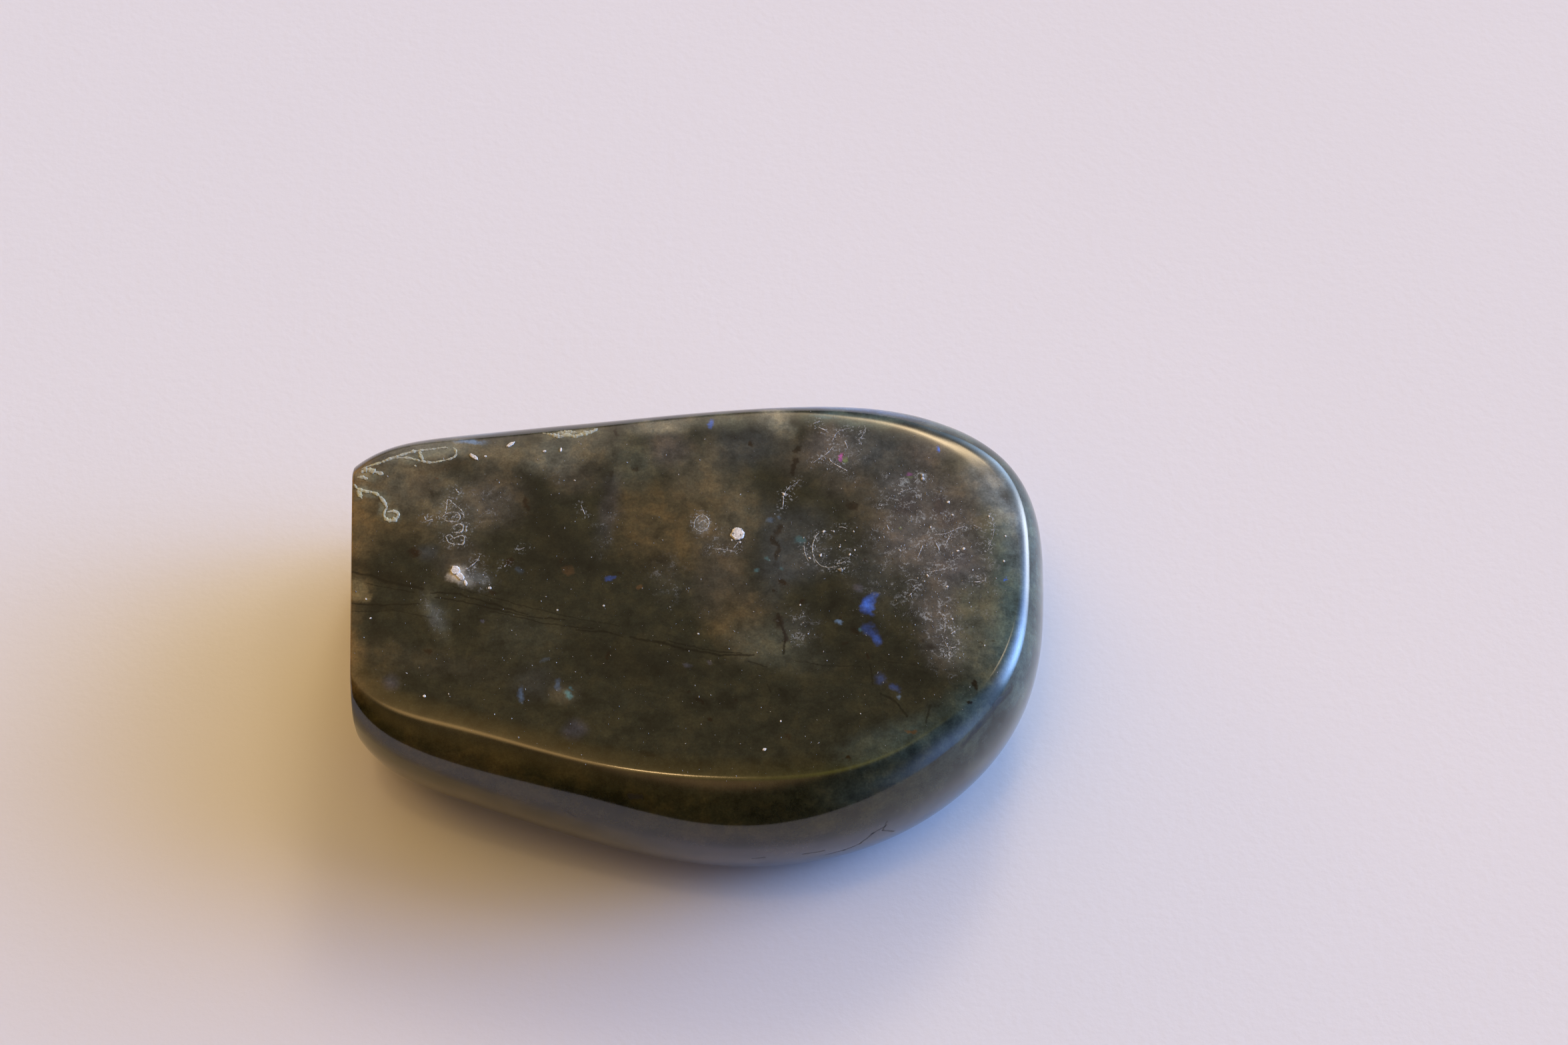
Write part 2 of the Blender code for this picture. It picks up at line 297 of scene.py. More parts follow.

# Patches of the stone's blue flash, which is a sheen painted into the colour at fixed places, and painted
# glints of small inner cracks, with a few smears and scum: place, length, width, turn in degrees, colour,
# share.
FLASHES = (
    (20.9, -0.9, 1.3, 1.8, -12, "royal", 1.00),
    (20.4, -1.9, 1.1, 1.2, 20, "royal", 0.60),
    (21.0, -2.6, 0.7, 0.9, 0, "royal", 0.35),
    (19.4, 1.1, 1.1, 1.0, 0, "violet", 0.55),
    (17.0, -3.6, 0.8, 0.5, 0, "sky", 0.75),
    (19.8, -4.4, 0.6, 0.5, 0, "lagoon", 0.60),
    (20.8, -4.6, 1.2, 1.6, 25, "royal", 0.30),
    (21.4, -5.8, 0.9, 1.5, 25, "royal", 0.45),
    (22.0, -11.0, 1.3, 1.5, 0, "royal", 0.14),
    (23.6, -12.2, 1.2, 0.9, -30, "royal", 0.20),
    (24.0, -13.5, 0.5, 0.7, 0, "sky", 0.40),
    (29.3, 20.6, 0.4, 1.0, -6, "royal", 1.00),
    (37.2, 2.4, 0.35, 0.35, 0, "royal", 0.90),
    (-10.1, 2.2, 0.8, 0.5, 20, "royal", 0.32),
    (-25.3, -3.6, 0.6, 0.5, 0, "violet", 0.80),
    (8.8, 10.2, 0.8, 0.7, 0, "sky", 0.35),
    (9.9, 10.8, 0.6, 0.5, 0, "sky", 0.30),
    (12.2, 7.6, 0.9, 0.8, 0, "lagoon", 0.50),
    (8.5, 5.2, 0.6, 0.5, 0, "lagoon", 0.40),
    (10.3, 3.8, 0.6, 0.5, 0, "lagoon", 0.35),
    (7.0, 3.5, 0.6, 0.5, 0, "lagoon", 0.50),
    (-20.4, -13.2, 0.7, 1.9, -6, "sky", 0.50),
    (-14.8, -13.6, 0.9, 0.9, 0, "lagoon", 0.75),
    (-14.4, -12.4, 0.5, 0.6, 0, "lagoon", 0.60),
    (-15.9, -12.2, 0.5, 1.6, 20, "sky", 0.30),
    (-17.5, -8.6, 0.9, 0.6, 0, "sky", 0.12),
    (-0.8, -9.5, 0.9, 0.6, 0, "violet", 0.45),
    (1.7, -8.7, 0.8, 0.6, 0, "violet", 0.40),
    (1.5, 24.0, 0.6, 1.1, -8, "royal", 0.60),
    (-21.0, 3.6, 0.9, 0.6, 0, "sky", 0.15),
    (-27.8, 21.7, 2.8, 0.8, 5, "sky", 0.90),
    (-41.9, 6.0, 0.4, 0.4, 0, "royal", 0.60),
    (15.5, 25.3, 3.0, 0.7, 0, "lagoon", 0.45),
    (17.7, 19.6, 0.5, 0.9, -10, "magenta", 0.60),
    (18.2, 19.1, 0.4, 0.9, 20, "lime", 0.45),
    (17.9, 18.6, 0.3, 0.4, 0, "frost", 0.70),
    (26.0, 16.6, 0.9, 0.4, 0, "magenta", 0.30),
    (25.9, 16.2, 0.8, 0.3, 0, "lime", 0.35),
    (25.1, 15.5, 0.9, 0.3, 15, "frost", 0.80),
    (27.5, 16.5, 0.4, 0.9, 0, "frost", 0.50),
    (24.6, 9.4, 0.4, 0.4, 0, "lime", 0.40),
    (-28.5, 3.1, 1.8, 2.0, -40, "chalk", 0.80),
    (-27.8, 2.2, 2.4, 1.4, -45, "chalk", 0.45),
    (-26.2, 2.4, 3.2, 1.8, -10, "frost", 0.18),
    (-31.0, -2.6, 1.2, 3.4, 25, "frost", 0.11),
    (-33.0, 19.8, 7.4, 1.4, 8, "scum", 0.45),
    (-40.0, 16.9, 2.8, 1.2, 0, "scum", 0.60),
    (-40.6, 14.8, 1.6, 1.6, 0, "scum", 0.65),
    (-39.2, 14.3, 2.6, 0.9, -15, "scum", 0.60),
    (-37.9, 12.6, 0.9, 2.2, -20, "scum", 0.60),
    (-36.9, 11.1, 1.7, 1.7, 0, "scum", 0.70),
    (-15.6, 22.9, 6.6, 1.5, 2, "scum", 0.55),
    (0.5, 10.0, 1.7, 2.0, 20, "frost", 0.16),
)

# Dark cleavage lines: the points that each passes, and its width and share.
VEINS = (
    (((-31.5, 0.6), (-28.0, 0.2), (-24.0, -1.2), (-20.0, -2.5)), 0.19, 0.72),
    (((-31.0, -0.1), (-26.0, -1.2), (-20.0, -2.8), (-15.5, -3.2)), 0.16, 0.72),
    (((-29.0, 1.2), (-24.0, -0.3), (-17.0, -2.3), (-9.0, -4.1)), 0.13, 0.59),
    (((-24.5, -2.0), (-18.0, -3.7), (-12.0, -4.4)), 0.14, 0.64),
    (((-14.0, -4.5), (-10.0, -5.0), (-8.5, -5.6)), 0.19, 0.68),
    (((-7.6, -5.6), (-4.3, -6.2), (-1.0, -7.2), (3.0, -7.9), (7.0, -8.0)), 0.24, 0.77),
    (((-3.0, -6.1), (1.0, -7.2), (5.6, -7.7)), 0.14, 0.68),
    (((6.4, -8.9), (8.5, -9.6)), 0.16, 0.59),
    (((12.0, -8.7), (14.6, -9.2), (20.0, -9.6)), 0.14, 0.47),
    (((22.0, -8.6), (31.0, -10.2)), 0.13, 0.38),
    (((9.9, -2.4), (10.0, -3.3), (10.4, -4.5), (10.6, -5.3), (10.6, -7.8)), 0.24, 0.77),
    (((20.8, -9.3), (21.0, -11.8)), 0.19, 0.59),
    (((22.0, -13.0), (23.0, -13.6), (24.0, -14.6), (25.0, -16.0)), 0.22, 0.68),
    (((27.8, -14.7), (27.2, -16.8)), 0.26, 0.55),
    (((-41.4, -1.0), (-37.0, -1.3), (-33.0, -1.0)), 0.18, 0.68),
    (((-41.4, -2.2), (-36.0, -2.0), (-31.0, -3.0)), 0.13, 0.51),
    (((-41.6, 3.4), (-39.0, 2.8), (-37.0, 2.0), (-32.5, 1.0)), 0.29, 0.72),
    (((-41.5, 2.5), (-38.0, 1.4), (-33.5, 0.5)), 0.14, 0.64),
    (((8.6, -12.0), (9.0, -12.9)), 0.16, 0.51),
)

# Cracks and dark stripes in the wall: points with their heights, width and share.
CRACKS = (
    (((22.7, -26.4, 13.2), (21.1, -27.0, 12.3), (19.6, -27.3, 10.2), (17.6, -27.8, 9.3),
      (15.6, -28.2, 9.2)), 0.30, 0.95),
    (((22.3, -26.5, 12.1), (22.7, -26.4, 14.1)), 0.24, 0.90),
    (((22.3, -26.5, 12.1), (23.6, -25.7, 9.8)), 0.27, 0.90),
    (((15.2, -28.5, 11.1), (12.9, -29.0, 11.3)), 0.35, 0.90),
    (((7.0, -29.5, 11.2), (8.2, -29.5, 11.6)), 0.32, 0.85),
    (((-7.3, -25.7, 20.1), (-6.0, -25.8, 20.2)), 0.46, 0.85),
    (((-14.9, -26.0, 16.3), (-13.9, -26.4, 15.4)), 0.35, 0.70),
    (((37.4, -11.2, 19.6), (36.0, -13.8, 19.8), (33.6, -17.0, 19.6), (31.6, -19.6, 19.0)), 0.57, 0.70),
)

# ---------------------------------------------------------------------------------------------------
# What lies on the stone. Places are in millimetres, on the top face unless a third number says how
# high they are.

# Lines of dried cream-coloured crust: points, width.
CRUST_LINES = (
    (((-41.0, 17.8), (-40.0, 18.2), (-38.8, 18.6), (-37.5, 19.2), (-36.0, 19.8), (-34.5, 20.3),
      (-33.0, 20.5), (-31.0, 20.8), (-30.6, 20.7)), 0.33),
    (((-37.5, 19.2), (-36.2, 19.3), (-35.0, 19.2), (-34.0, 18.9), (-32.5, 18.6), (-31.0, 18.9),
      (-30.0, 19.2), (-29.5, 19.7), (-29.6, 20.4), (-29.9, 20.8)), 0.28),
    (((-34.0, 20.4), (-33.8, 19.6), (-33.5, 18.9)), 0.43),
    (((-34.5, 18.3), (-34.3, 18.0)), 0.17),
    (((-41.0, 17.3), (-40.2, 17.6), (-39.3, 17.3), (-38.2, 16.9)), 0.58),
    (((-41.4, 16.6), (-40.6, 16.5), (-40.1, 16.2)), 0.43),
    (((-41.7, 15.6), (-41.2, 14.9), (-40.2, 14.5), (-39.2, 14.3), (-38.5, 13.8), (-37.9, 13.0),
      (-37.5, 12.2)), 0.43),
    (((-41.2, 14.7), (-40.9, 14.0), (-40.6, 13.5)), 0.55),
    (((-37.5, 12.2), (-37.8, 11.5), (-37.6, 10.7), (-36.9, 10.4), (-36.3, 10.7), (-36.1, 11.3),
      (-36.6, 11.7), (-37.4, 11.6)), 0.47),
    (((-19.0, 23.0), (-18.0, 22.7), (-17.0, 22.4), (-16.0, 22.6), (-15.0, 22.4), (-14.0, 22.8),
      (-13.0, 23.1), (-12.3, 23.6)), 0.55),
    (((-17.2, 22.9), (-16.0, 23.1), (-14.8, 22.9)), 0.47),
)

# Thin whitish outlines that dried drops have left: points, width.
DROP_OUTLINES = (
    (((-30.8, 10.8), (-30.0, 10.3), (-29.0, 10.3), (-28.6, 10.8), (-28.8, 11.4), (-29.6, 11.6),
      (-30.4, 11.3), (-30.8, 10.8)), 0.14),
    (((-30.4, 11.3), (-30.3, 12.3), (-30.2, 13.4), (-29.6, 12.9), (-28.9, 12.3), (-28.3, 11.6),
      (-28.1, 10.8)), 0.12),
    (((-29.4, 10.6), (-29.1, 11.2), (-28.6, 11.1)), 0.12),
    (((-32.9, 11.0), (-32.6, 10.4), (-31.9, 10.6)), 0.23),
    (((-29.4, 9.6), (-28.7, 9.9), (-28.2, 9.7), (-28.2, 9.1), (-28.6, 8.7), (-29.2, 8.8)), 0.23),
    (((-30.2, 8.2), (-29.7, 8.4), (-29.2, 8.0), (-28.5, 8.3), (-28.0, 8.2), (-28.0, 7.3),
      (-28.4, 7.1), (-29.4, 7.2), (-29.9, 7.5), (-30.2, 8.2)), 0.19),
    (((-27.8, 9.7), (-27.8, 8.9)), 0.17),
    (((-29.4, 14.9), (-28.9, 14.3)), 0.20),
    (((14.9, 8.8), (14.4, 8.2), (14.1, 7.3), (14.0, 6.5), (14.1, 5.7), (14.4, 4.9), (15.0, 4.2),
      (15.8, 3.9)), 0.13),
    (((16.9, 4.4), (17.4, 4.5), (17.9, 4.8)), 0.14),
    (((17.0, 3.7), (17.5, 3.6), (17.9, 3.8)), 0.35),
    (((17.2, 9.5), (17.7, 9.5), (18.2, 9.3)), 0.14),
    (((13.0, 7.0), (13.1, 5.9), (13.5, 4.8)), 0.14),
    (((15.8, 3.9), (16.9, 4.0)), 0.10),
    (((-0.3, 9.4), (-0.2, 10.4), (0.3, 11.1), (1.0, 11.1), (1.5, 10.4), (1.3, 9.4), (0.6, 8.9),
      (-0.3, 9.4)), 0.14),
    (((0.2, 9.8), (0.7, 10.4), (1.2, 10.1)), 0.13),
)

# Lint and bright scratches: points, width.
THREADS = (
    (((-27.3, 3.8), (-26.3, 4.8), (-26.0, 5.5)), 0.13),
    (((-28.0, 3.6), (-27.3, 3.8)), 0.12),
    (((-23.0, 4.0), (-22.7, 4.4)), 0.12),
    (((-21.2, 6.4), (-20.6, 6.7)), 0.08),
    (((11.4, 15.4), (10.6, 14.1), (10.5, 13.0), (10.4, 12.1)), 0.12),
    (((10.3, 14.4), (11.6, 13.8)), 0.10),
    (((12.3, 15.9), (11.2, 15.0)), 0.08),
    (((14.0, 18.5), (15.8, 19.9), (16.7, 21.1)), 0.10),
    (((16.1, 19.2), (16.5, 18.6), (18.3, 17.4)), 0.12),
    (((16.5, 21.7), (17.2, 23.0), (18.8, 23.6)), 0.10),
    (((14.8, 23.7), (15.8, 23.1)), 0.12),
    (((15.0, 24.6), (14.2, 24.2)), 0.12),
    (((18.0, 21.7), (18.4, 20.6)), 0.10),
    (((19.6, 21.8), (20.2, 22.4), (20.3, 23.4)), 0.08),
    (((-14.0, 12.6), (-13.5, 11.2)), 0.10),
    (((28.7, 8.5), (30.0, 8.6), (31.5, 9.3), (32.5, 9.6)), 0.09),
    (((30.8, 8.8), (29.9, 6.8)), 0.09),
    (((28.8, 7.5), (29.3, 6.2)), 0.14),
    (((27.3, 7.0), (26.6, 5.2)), 0.12),
    (((33.5, 9.8), (34.5, 9.2)), 0.08),
    (((33.3, 1.9), (34.8, 2.1)), 0.11),
    (((25.5, 0.0), (26.4, 1.2)), 0.10),
    (((30.4, -5.1), (31.2, -4.5)), 0.12),
    (((30.3, -7.0), (31.0, -6.9)), 0.12),
    (((22.0, 12.6), (22.5, 12.5)), 0.14),
    (((23.0, 9.8), (23.2, 9.2)), 0.12),
    (((35.0, 6.0), (35.9, 8.9), (35.6, 11.5)), 0.06),
    (((24.6, 14.4), (26.0, 14.9)), 0.08),
    (((27.4, 17.0), (27.5, 16.0)), 0.34),
    (((29.0, -2.0), (29.7, -3.4), (29.6, -5.0)), 0.07),
    (((29.3, -5.4), (30.5, -8.0)), 0.07),
    (((27.2, 3.2), (29.6, 3.6)), 0.07),
    (((2.0, 6.6), (4.6, 6.2)), 0.07),
    (((5.2, 7.6), (4.4, 6.4)), 0.08),
)

# White flakes and crumbs: place, length, width, turn in degrees, height.
FLAKES = (
    (4.95, 8.5, 1.75, 1.55, 20, 0.22),
    (-28.8, 3.5, 1.15, 1.20, 30, 0.30),
    (-28.2, 2.7, 1.30, 0.80, -50, 0.20),
    (-27.5, 1.8, 0.80, 0.35, -50, 0.12),
    (-24.6, 1.1, 0.45, 0.35, 0, 0.15),
    (-27.3, 19.4, 1.25, 0.48, -40, 0.22),
    (-22.9, 21.2, 1.20, 0.45, 30, 0.20),
    (-18.7, 20.2, 0.45, 0.30, 20, 0.14),
    (-16.7, 20.4, 0.60, 0.28, 60, 0.16),
    (-25.9, 19.5, 0.35, 0.25, 0, 0.12),
    (15.4, 8.9, 0.38, 0.30, 0, 0.15),
    (15.0, 5.6, 0.40, 0.26, 30, 0.14),
    (13.7, 5.2, 0.30, 0.18, 60, 0.10),
    (18.5, 5.7, 0.34, 0.22, 40, 0.12),
    (19.1, 6.3, 0.26, 0.20, 0, 0.12),
    (17.3, 6.8, 0.24, 0.20, 0, 0.10),
    (16.6, 8.9, 0.24, 0.18, 0, 0.10),
    (19.0, 8.9, 0.26, 0.18, -30, 0.10),
    (10.6, 14.1, 0.40, 0.28, 20, 0.15),
    (5.3, 7.4, 0.30, 0.22, 0, 0.10),
    (4.3, 7.7, 0.26, 0.20, 0, 0.10),
    (30.5, 13.0, 0.38, 0.30, 0, 0.14),
    (31.0, 11.2, 0.26, 0.20, 0, 0.10),
    (35.4, 11.0, 0.28, 0.22, 0, 0.12),
    (32.2, 6.5, 0.40, 0.30, 0, 0.14),
    (31.5, 6.2, 0.34, 0.22, 30, 0.12),
    (37.0, 4.8, 0.30, 0.24, 0, 0.12),
    (37.3, 8.3, 0.26, 0.20, 0, 0.10),
    (27.8, 2.8, 0.40, 0.22, 20, 0.12),
    (30.1, 1.3, 0.30, 0.24, 0, 0.12),
    (30.6, -3.1, 0.26, 0.22, 0, 0.10),
    (24.5, 6.3, 0.24, 0.20, 0, 0.10),
    (28.3, 9.5, 0.28, 0.20, 0, 0.10),
    (-31.65, -13.4, 0.38, 0.34, 0, 0.16),
    (8.3, -20.4, 0.50, 0.34, 30, 0.14),
    (-10.9, -1.3, 0.28, 0.24, 0, 0.12),
    (-16.4, -1.9, 0.24, 0.22, 0, 0.10),
    (0.4, -5.1, 0.26, 0.22, 0, 0.10),
    (12.5, -1.2, 0.24, 0.20, 0, 0.10),
    (10.2, -16.7, 0.24, 0.20, 0, 0.10),
    (-39.3, -0.4, 0.26, 0.20, 0, 0.10),
    (-38.6, -3.0, 0.30, 0.20, 20, 0.10),
)

# Clusters of fine dust: place, length, width, turn in degrees, grains to the square millimetre.
DUST_CLUSTERS = (
    (26.0, 9.0, 9.0, 16.0, 0, 4.6),
    (30.5, 6.0, 9.0, 12.0, 0, 4.2),
    (28.6, -2.0, 5.0, 14.0, 8, 6.0),
    (30.2, -7.0, 2.6, 5.0, 10, 8.0),
    (25.5, 15.2, 6.5, 4.0, 0, 5.0),
    (17.5, 19.8, 5.5, 6.0, 0, 5.0),
    (12.3, -4.2, 4.0, 4.5, 0, 5.0),
    (16.2, 6.6, 6.5, 6.5, 0, 2.4),
    (2.5, 7.6, 5.5, 3.5, 0, 3.0),
    (0.6, 10.0, 2.0, 2.4, 0, 9.0),
    (-3.4, 2.2, 4.0, 6.0, 0, 2.4),
    (-26.0, 12.5, 6.5, 6.0, 0, 3.0),
    (-26.3, 2.6, 3.6, 2.6, -30, 9.0),
    (-31.0, -2.6, 2.0, 6.0, 25, 3.0),
    (-11.2, 9.0, 2.6, 7.0, -12, 2.6),
    (-17.0, 16.5, 3.0, 2.0, 0, 2.2),
    (22.5, 1.0, 6.0, 10.0, 0, 2.0),
    (34.8, 0.5, 5.0, 16.0, 0, 1.8),
    (0.0, 0.0, 110.0, 80.0, 0, 0.55),
)


# ---------------------------------------------------------------------------------------------------
# Sizes and colours.


def length(name, description, default):
    """A length that the user can change."""
    return FloatProperty(
        name=name, description=description, default=default, unit="LENGTH", subtype="DISTANCE",
        precision=5, min=0.0,
    )


def colour(name, description, default):
    """A colour that the user can change."""
    return FloatVectorProperty(
        name=name, description=description, default=default, subtype="COLOR", size=3, min=0.0, max=1.0,
    )


def share(name, description, default):
    """A share from 0 to 1 that the user can change."""
    return FloatProperty(
        name=name, description=description, default=default, subtype="FACTOR", min=0.0, max=1.0,
    )


class LabradoriteShape(PropertyGroup):
    """The stone's sizes."""

    thickness: length("Thickness", "Height of the flat top face above the underside", cad_high.z)
    edge_roll: length("Roll width", "Width over which the top face rolls off to its edge", 3.0 * MM)
    edge_drop: length("Roll drop", "How far the top face has dropped at its edge", 0.25 * MM)
    rim_round: length("Rim round", "How far the polished rim is rounded over on each side", 0.32 * MM)
    saw_round: length("Saw edge round", "Radius of the worn edge round the sawn end", 0.22 * MM)
    wave_depth: length("Wave depth", "Height of the shallow waves that polishing leaves", 0.03 * MM)
    wave_size: length("Wave size", "Distance from one of those waves to the next", 9.0 * MM)


class LabradoriteFinish(PropertyGroup):
    """The stone's colours and polish, among them colours that stand for painted light: a glow, a reflection,
    shade and the flash sheen.
    """

    olive: colour("Olive", "Body colour of the top face", (0.0205, 0.0210, 0.0118))
    moss: colour("Moss", "Darker green body colour of the wall", (0.0340, 0.0310, 0.0130))
    teal: colour("Teal", "Blue-green body colour at the round end", (0.072, 0.104, 0.094))
    gold: colour("Gold olive", "Warm light clouds in the stone", (0.092, 0.067, 0.031))
    # A painted glow rather than a colour of the stone: the warm light that the sawn edge lets through.
    painted_edge_glow: colour("Amber", "Warm light that the sawn edge lets through", (0.150, 0.100, 0.042))
    haze: colour("Haze", "Pale grey clouds in the stone", (0.115, 0.104, 0.072))
    ash: colour("Ash", "Palest clouds, along the back rim", (0.200, 0.195, 0.150))
    smoke: colour("Smoke", "Warm grey clouds in the stone", (0.072, 0.062, 0.046))
    mist: colour("Mist", "Grey-green clouds in the stone", (0.092, 0.098, 0.072))
    slate: colour("Slate", "Blue-grey clouds in the stone", (0.048, 0.054, 0.056))
    rose: colour("Rose grey", "Pinkish grey clouds in the stone", (0.102, 0.090, 0.080))
    # Violet grey also serves as the painted reflection of the table on the lower front wall.
    violet: colour("Violet grey", "Violet-grey spots in the stone", (0.070, 0.070, 0.092))
    # Plum also serves as painted shade on the lower front-left wall.
    plum: colour("Plum", "Dark purple-brown spots in the stone", (0.036, 0.030, 0.031))
    shade: colour("Shade", "Dark olive bands in the stone", (0.0085, 0.0085, 0.0048))
    seam: colour("Seam", "Nearly black cleavage lines and cracks", (0.0040, 0.0038, 0.0020))
    chip: colour("Chip", "Pale broken patch at the sawn edge", (0.155, 0.118, 0.055))
    umber: colour("Umber", "Dark brown grains in the stone", (0.0120, 0.0062, 0.0028))
    rust: colour("Rust", "Orange-brown grains and stains in the stone", (0.085, 0.045, 0.018))
    # The flash and glint colours are painted sheen: the stone's blue flash and the glints of inner cracks,
    # put into the colour at fixed places.
    royal: colour("Royal blue flash", "Deep blue of the flash", (0.045, 0.125, 0.52))
    sky: colour("Sky flash", "Light blue of the flash", (0.12, 0.20, 0.33))
    lagoon: colour("Lagoon flash", "Blue-green of the flash", (0.075, 0.18, 0.20))
    magenta: colour("Magenta glint", "Pink glint on a small inner crack", (0.55, 0.10, 0.50))
    lime: colour("Lime glint", "Yellow-green glint on a small inner crack", (0.30, 0.42, 0.12))
    scum: colour("Scum", "Thin see-through part of the dried crust", (0.185, 0.190, 0.135))
    chalk: colour("Chalk", "Chalky smear", (0.50, 0.48, 0.43))
    frost: colour("Frost", "Pale bluish film and splinters", (0.34, 0.38, 0.40))
    polish: share("Polish roughness", "Roughness of the polished faces", 0.085)
    sawn: share("Sawn roughness", "Roughness of the sawn end", 0.62)


class LabradoriteDirt(PropertyGroup):
    """The crust, lint, flakes and dust that lie on the stone."""

    crust: colour("Crust", "Colour of the dried crust", (0.38, 0.40, 0.33))
    outline: colour("Drop outline", "Colour of the outlines that dried drops left", (0.34, 0.34, 0.31))
    lint: colour("Lint", "Colour of the lint and scratches", (0.36, 0.36, 0.36))
    flake: colour("Flake", "Colour of the white flakes", (0.70, 0.69, 0.66))
    crust_flatness: share("Crust height", "Height of the crust, as a share of its width", 0.20)
    dust_amount: FloatProperty(
        name="Dust amount", description="How many dust grains lie in each cluster, 1 as built",
        default=1.0, min=0.0, max=4.0,
    )
    dust_size: length("Dust size", "Mean size of a dust grain", 0.10 * MM)
    seed: IntProperty(name="Seed", description="Seed of the dust and of the crust's lumps", default=7)


class LabradoriteStage(PropertyGroup):
    """The table, the lamps and the camera."""

    floor: colour("Table", "Colour of the pale table", (0.795, 0.808, 0.850))
    floor_size: length("Table size", "Side of the square table top", 4.0)
    lens: FloatProperty(name="Lens", description="Focal length in millimetres", default=80.0, min=10.0)
    brightness: FloatProperty(
        name="Brightness", description="All lamps together, 1 as built", default=1.0, min=0.0,
    )


class LabradoriteSettings(PropertyGroup):
    """All settings of the stone and its stage."""

    shape: PointerProperty(type=LabradoriteShape)
    finish: PointerProperty(type=LabradoriteFinish)
    dirt: PointerProperty(type=LabradoriteDirt)
    stage: PointerProperty(type=LabradoriteStage)


# ---------------------------------------------------------------------------------------------------
# Nodes.


class Value:
    """A node's output that can stand in a sum: each sum adds its Math node to the tree."""

    def __init__(self, tree, socket):
        self.tree = tree
        self.socket = socket

    def __add__(self, other):
        return self.tree.maths("ADD", self, other)

    def __radd__(self, other):
        return self.tree.maths("ADD", other, self)

    def __sub__(self, other):
        return self.tree.maths("SUBTRACT", self, other)

    def __rsub__(self, other):
        return self.tree.maths("SUBTRACT", other, self)

    def __mul__(self, other):
        return self.tree.maths("MULTIPLY", self, other)

    def __rmul__(self, other):
        return self.tree.maths("MULTIPLY", other, self)

    def __truediv__(self, other):
        return self.tree.maths("DIVIDE", self, other)

    def __rtruediv__(self, other):
        return self.tree.maths("DIVIDE", other, self)

    def __pow__(self, other):
        return self.tree.maths("POWER", self, other)

    def __rpow__(self, other):
        return self.tree.maths("POWER", other, self)


class Tree:
    """A tree of nodes and the one way in which a node is added to it."""

    def __init__(self, nodes):
        self.nodes = nodes

    def add(self, kind, settings=None, inputs=None):
        """A new node: its settings are set first, and then the values or links of its sockets."""
        node = self.nodes.nodes.new(kind)
        for name, value in (settings or {}).items():
            setattr(node, name, value)
        for name, value in (inputs or {}).items():
            if isinstance(value, Value):
                self.nodes.links.new(value.socket, node.inputs[name])
            else:
                node.inputs[name].default_value = value
        return node

    def out(self, node, name=0):
        """One of a node's outputs."""
        return Value(self, node.outputs[name])

    def maths(self, operation, first, second=0.0):
        """A Math node's output."""
        return self.out(self.add("ShaderNodeMath", {"operation": operation}, {0: first, 1: second}))

    def vector(self, operation, first, second=None, third=None, scale=None, output=0):
        """A Vector Math node's output."""
        inputs = {0: first, 1: second, 2: third, "Scale": scale}
        inputs = {name: value for name, value in inputs.items() if value is not None}
        return self.out(self.add("ShaderNodeVectorMath", {"operation": operation}, inputs), output)

    def ease(self, value, low, high, start=0.0, end=1.0):
        """A smooth step: start below low, end above high."""
        node = self.add(
            "ShaderNodeMapRange", {"interpolation_type": "SMOOTHSTEP"},
            {"Value": value, "From Min": low, "From Max": high, "To Min": start, "To Max": end},
        )
        return self.out(node)

    def mix(self, factor, under, over):
        """Two colours mixed by a share."""
        inputs = {0: factor, 6: paint(under), 7: paint(over)}
        return self.out(self.add("ShaderNodeMix", {"data_type": "RGBA"}, inputs), 2)

    def tint(self, colour_value, by):
        """A colour made darker or lighter by a number."""
        if not isinstance(colour_value, Value):
            colour_value = tuple(colour_value[:3])
        return self.vector("SCALE", colour_value, scale=by)

    def noise(self, place, size, detail=2.0, roughness=0.5, output=0):
        """Noise with clouds of about that size: a number, or a colour from output 1."""
        inputs = {"Vector": place, "Scale": 1.0 / size, "Detail": detail, "Roughness": roughness}
        return self.out(self.add("ShaderNodeTexNoise", {}, inputs), output)

    def shift(self, place, size, detail):
        """A direction and reach that change from place to place, each part between -0.5 and 0.5."""
        return self.vector("SUBTRACT", self.noise(place, size, detail, output=1), (0.5, 0.5, 0.5))

    def painted(self, name, output="Fac"):
        """What a material reads of an attribute of the piece's points."""
        return self.out(self.add("ShaderNodeAttribute", {"attribute_name": name}), output)

    def stored(self, name):
        """What a geometry tree reads of an attribute of the carrier's points."""
        node = self.add("GeometryNodeInputNamedAttribute", {}, {"Name": name})
        return self.out(node, "Attribute")

    def bump(self, height, depth=MM, strength=1.0):
        """A normal that a height bends."""
        inputs = {"Strength": strength, "Distance": depth, "Height": height}
        return self.out(self.add("ShaderNodeBump", {}, inputs))


def paint(value):
    """A colour as a socket takes it."""
    return value if isinstance(value, Value) else (*value[:3], 1.0)


def new_material(name):
    """A material with an empty tree, and that tree."""
    material = bpy.data.materials.new(name)
    material.use_nodes = True
    material.node_tree.nodes.clear()
    return material, Tree(material.node_tree)


def finish_material(tree, base, roughness, normal, others=None):
    """Closes a material's tree with its shader."""
    inputs = {"Base Color": base, "Roughness": roughness, "Normal": normal, **(others or {})}
    shader = tree.add("ShaderNodeBsdfPrincipled", {}, inputs)
    tree.add("ShaderNodeOutputMaterial", {}, {"Surface": tree.out(shader)})


def millimetres(tree):
    """The place on the piece, in millimetres."""
    place = tree.out(tree.add("ShaderNodeTexCoord"), "Object")
    return tree.vector("SCALE", place, scale=1.0 / MM)


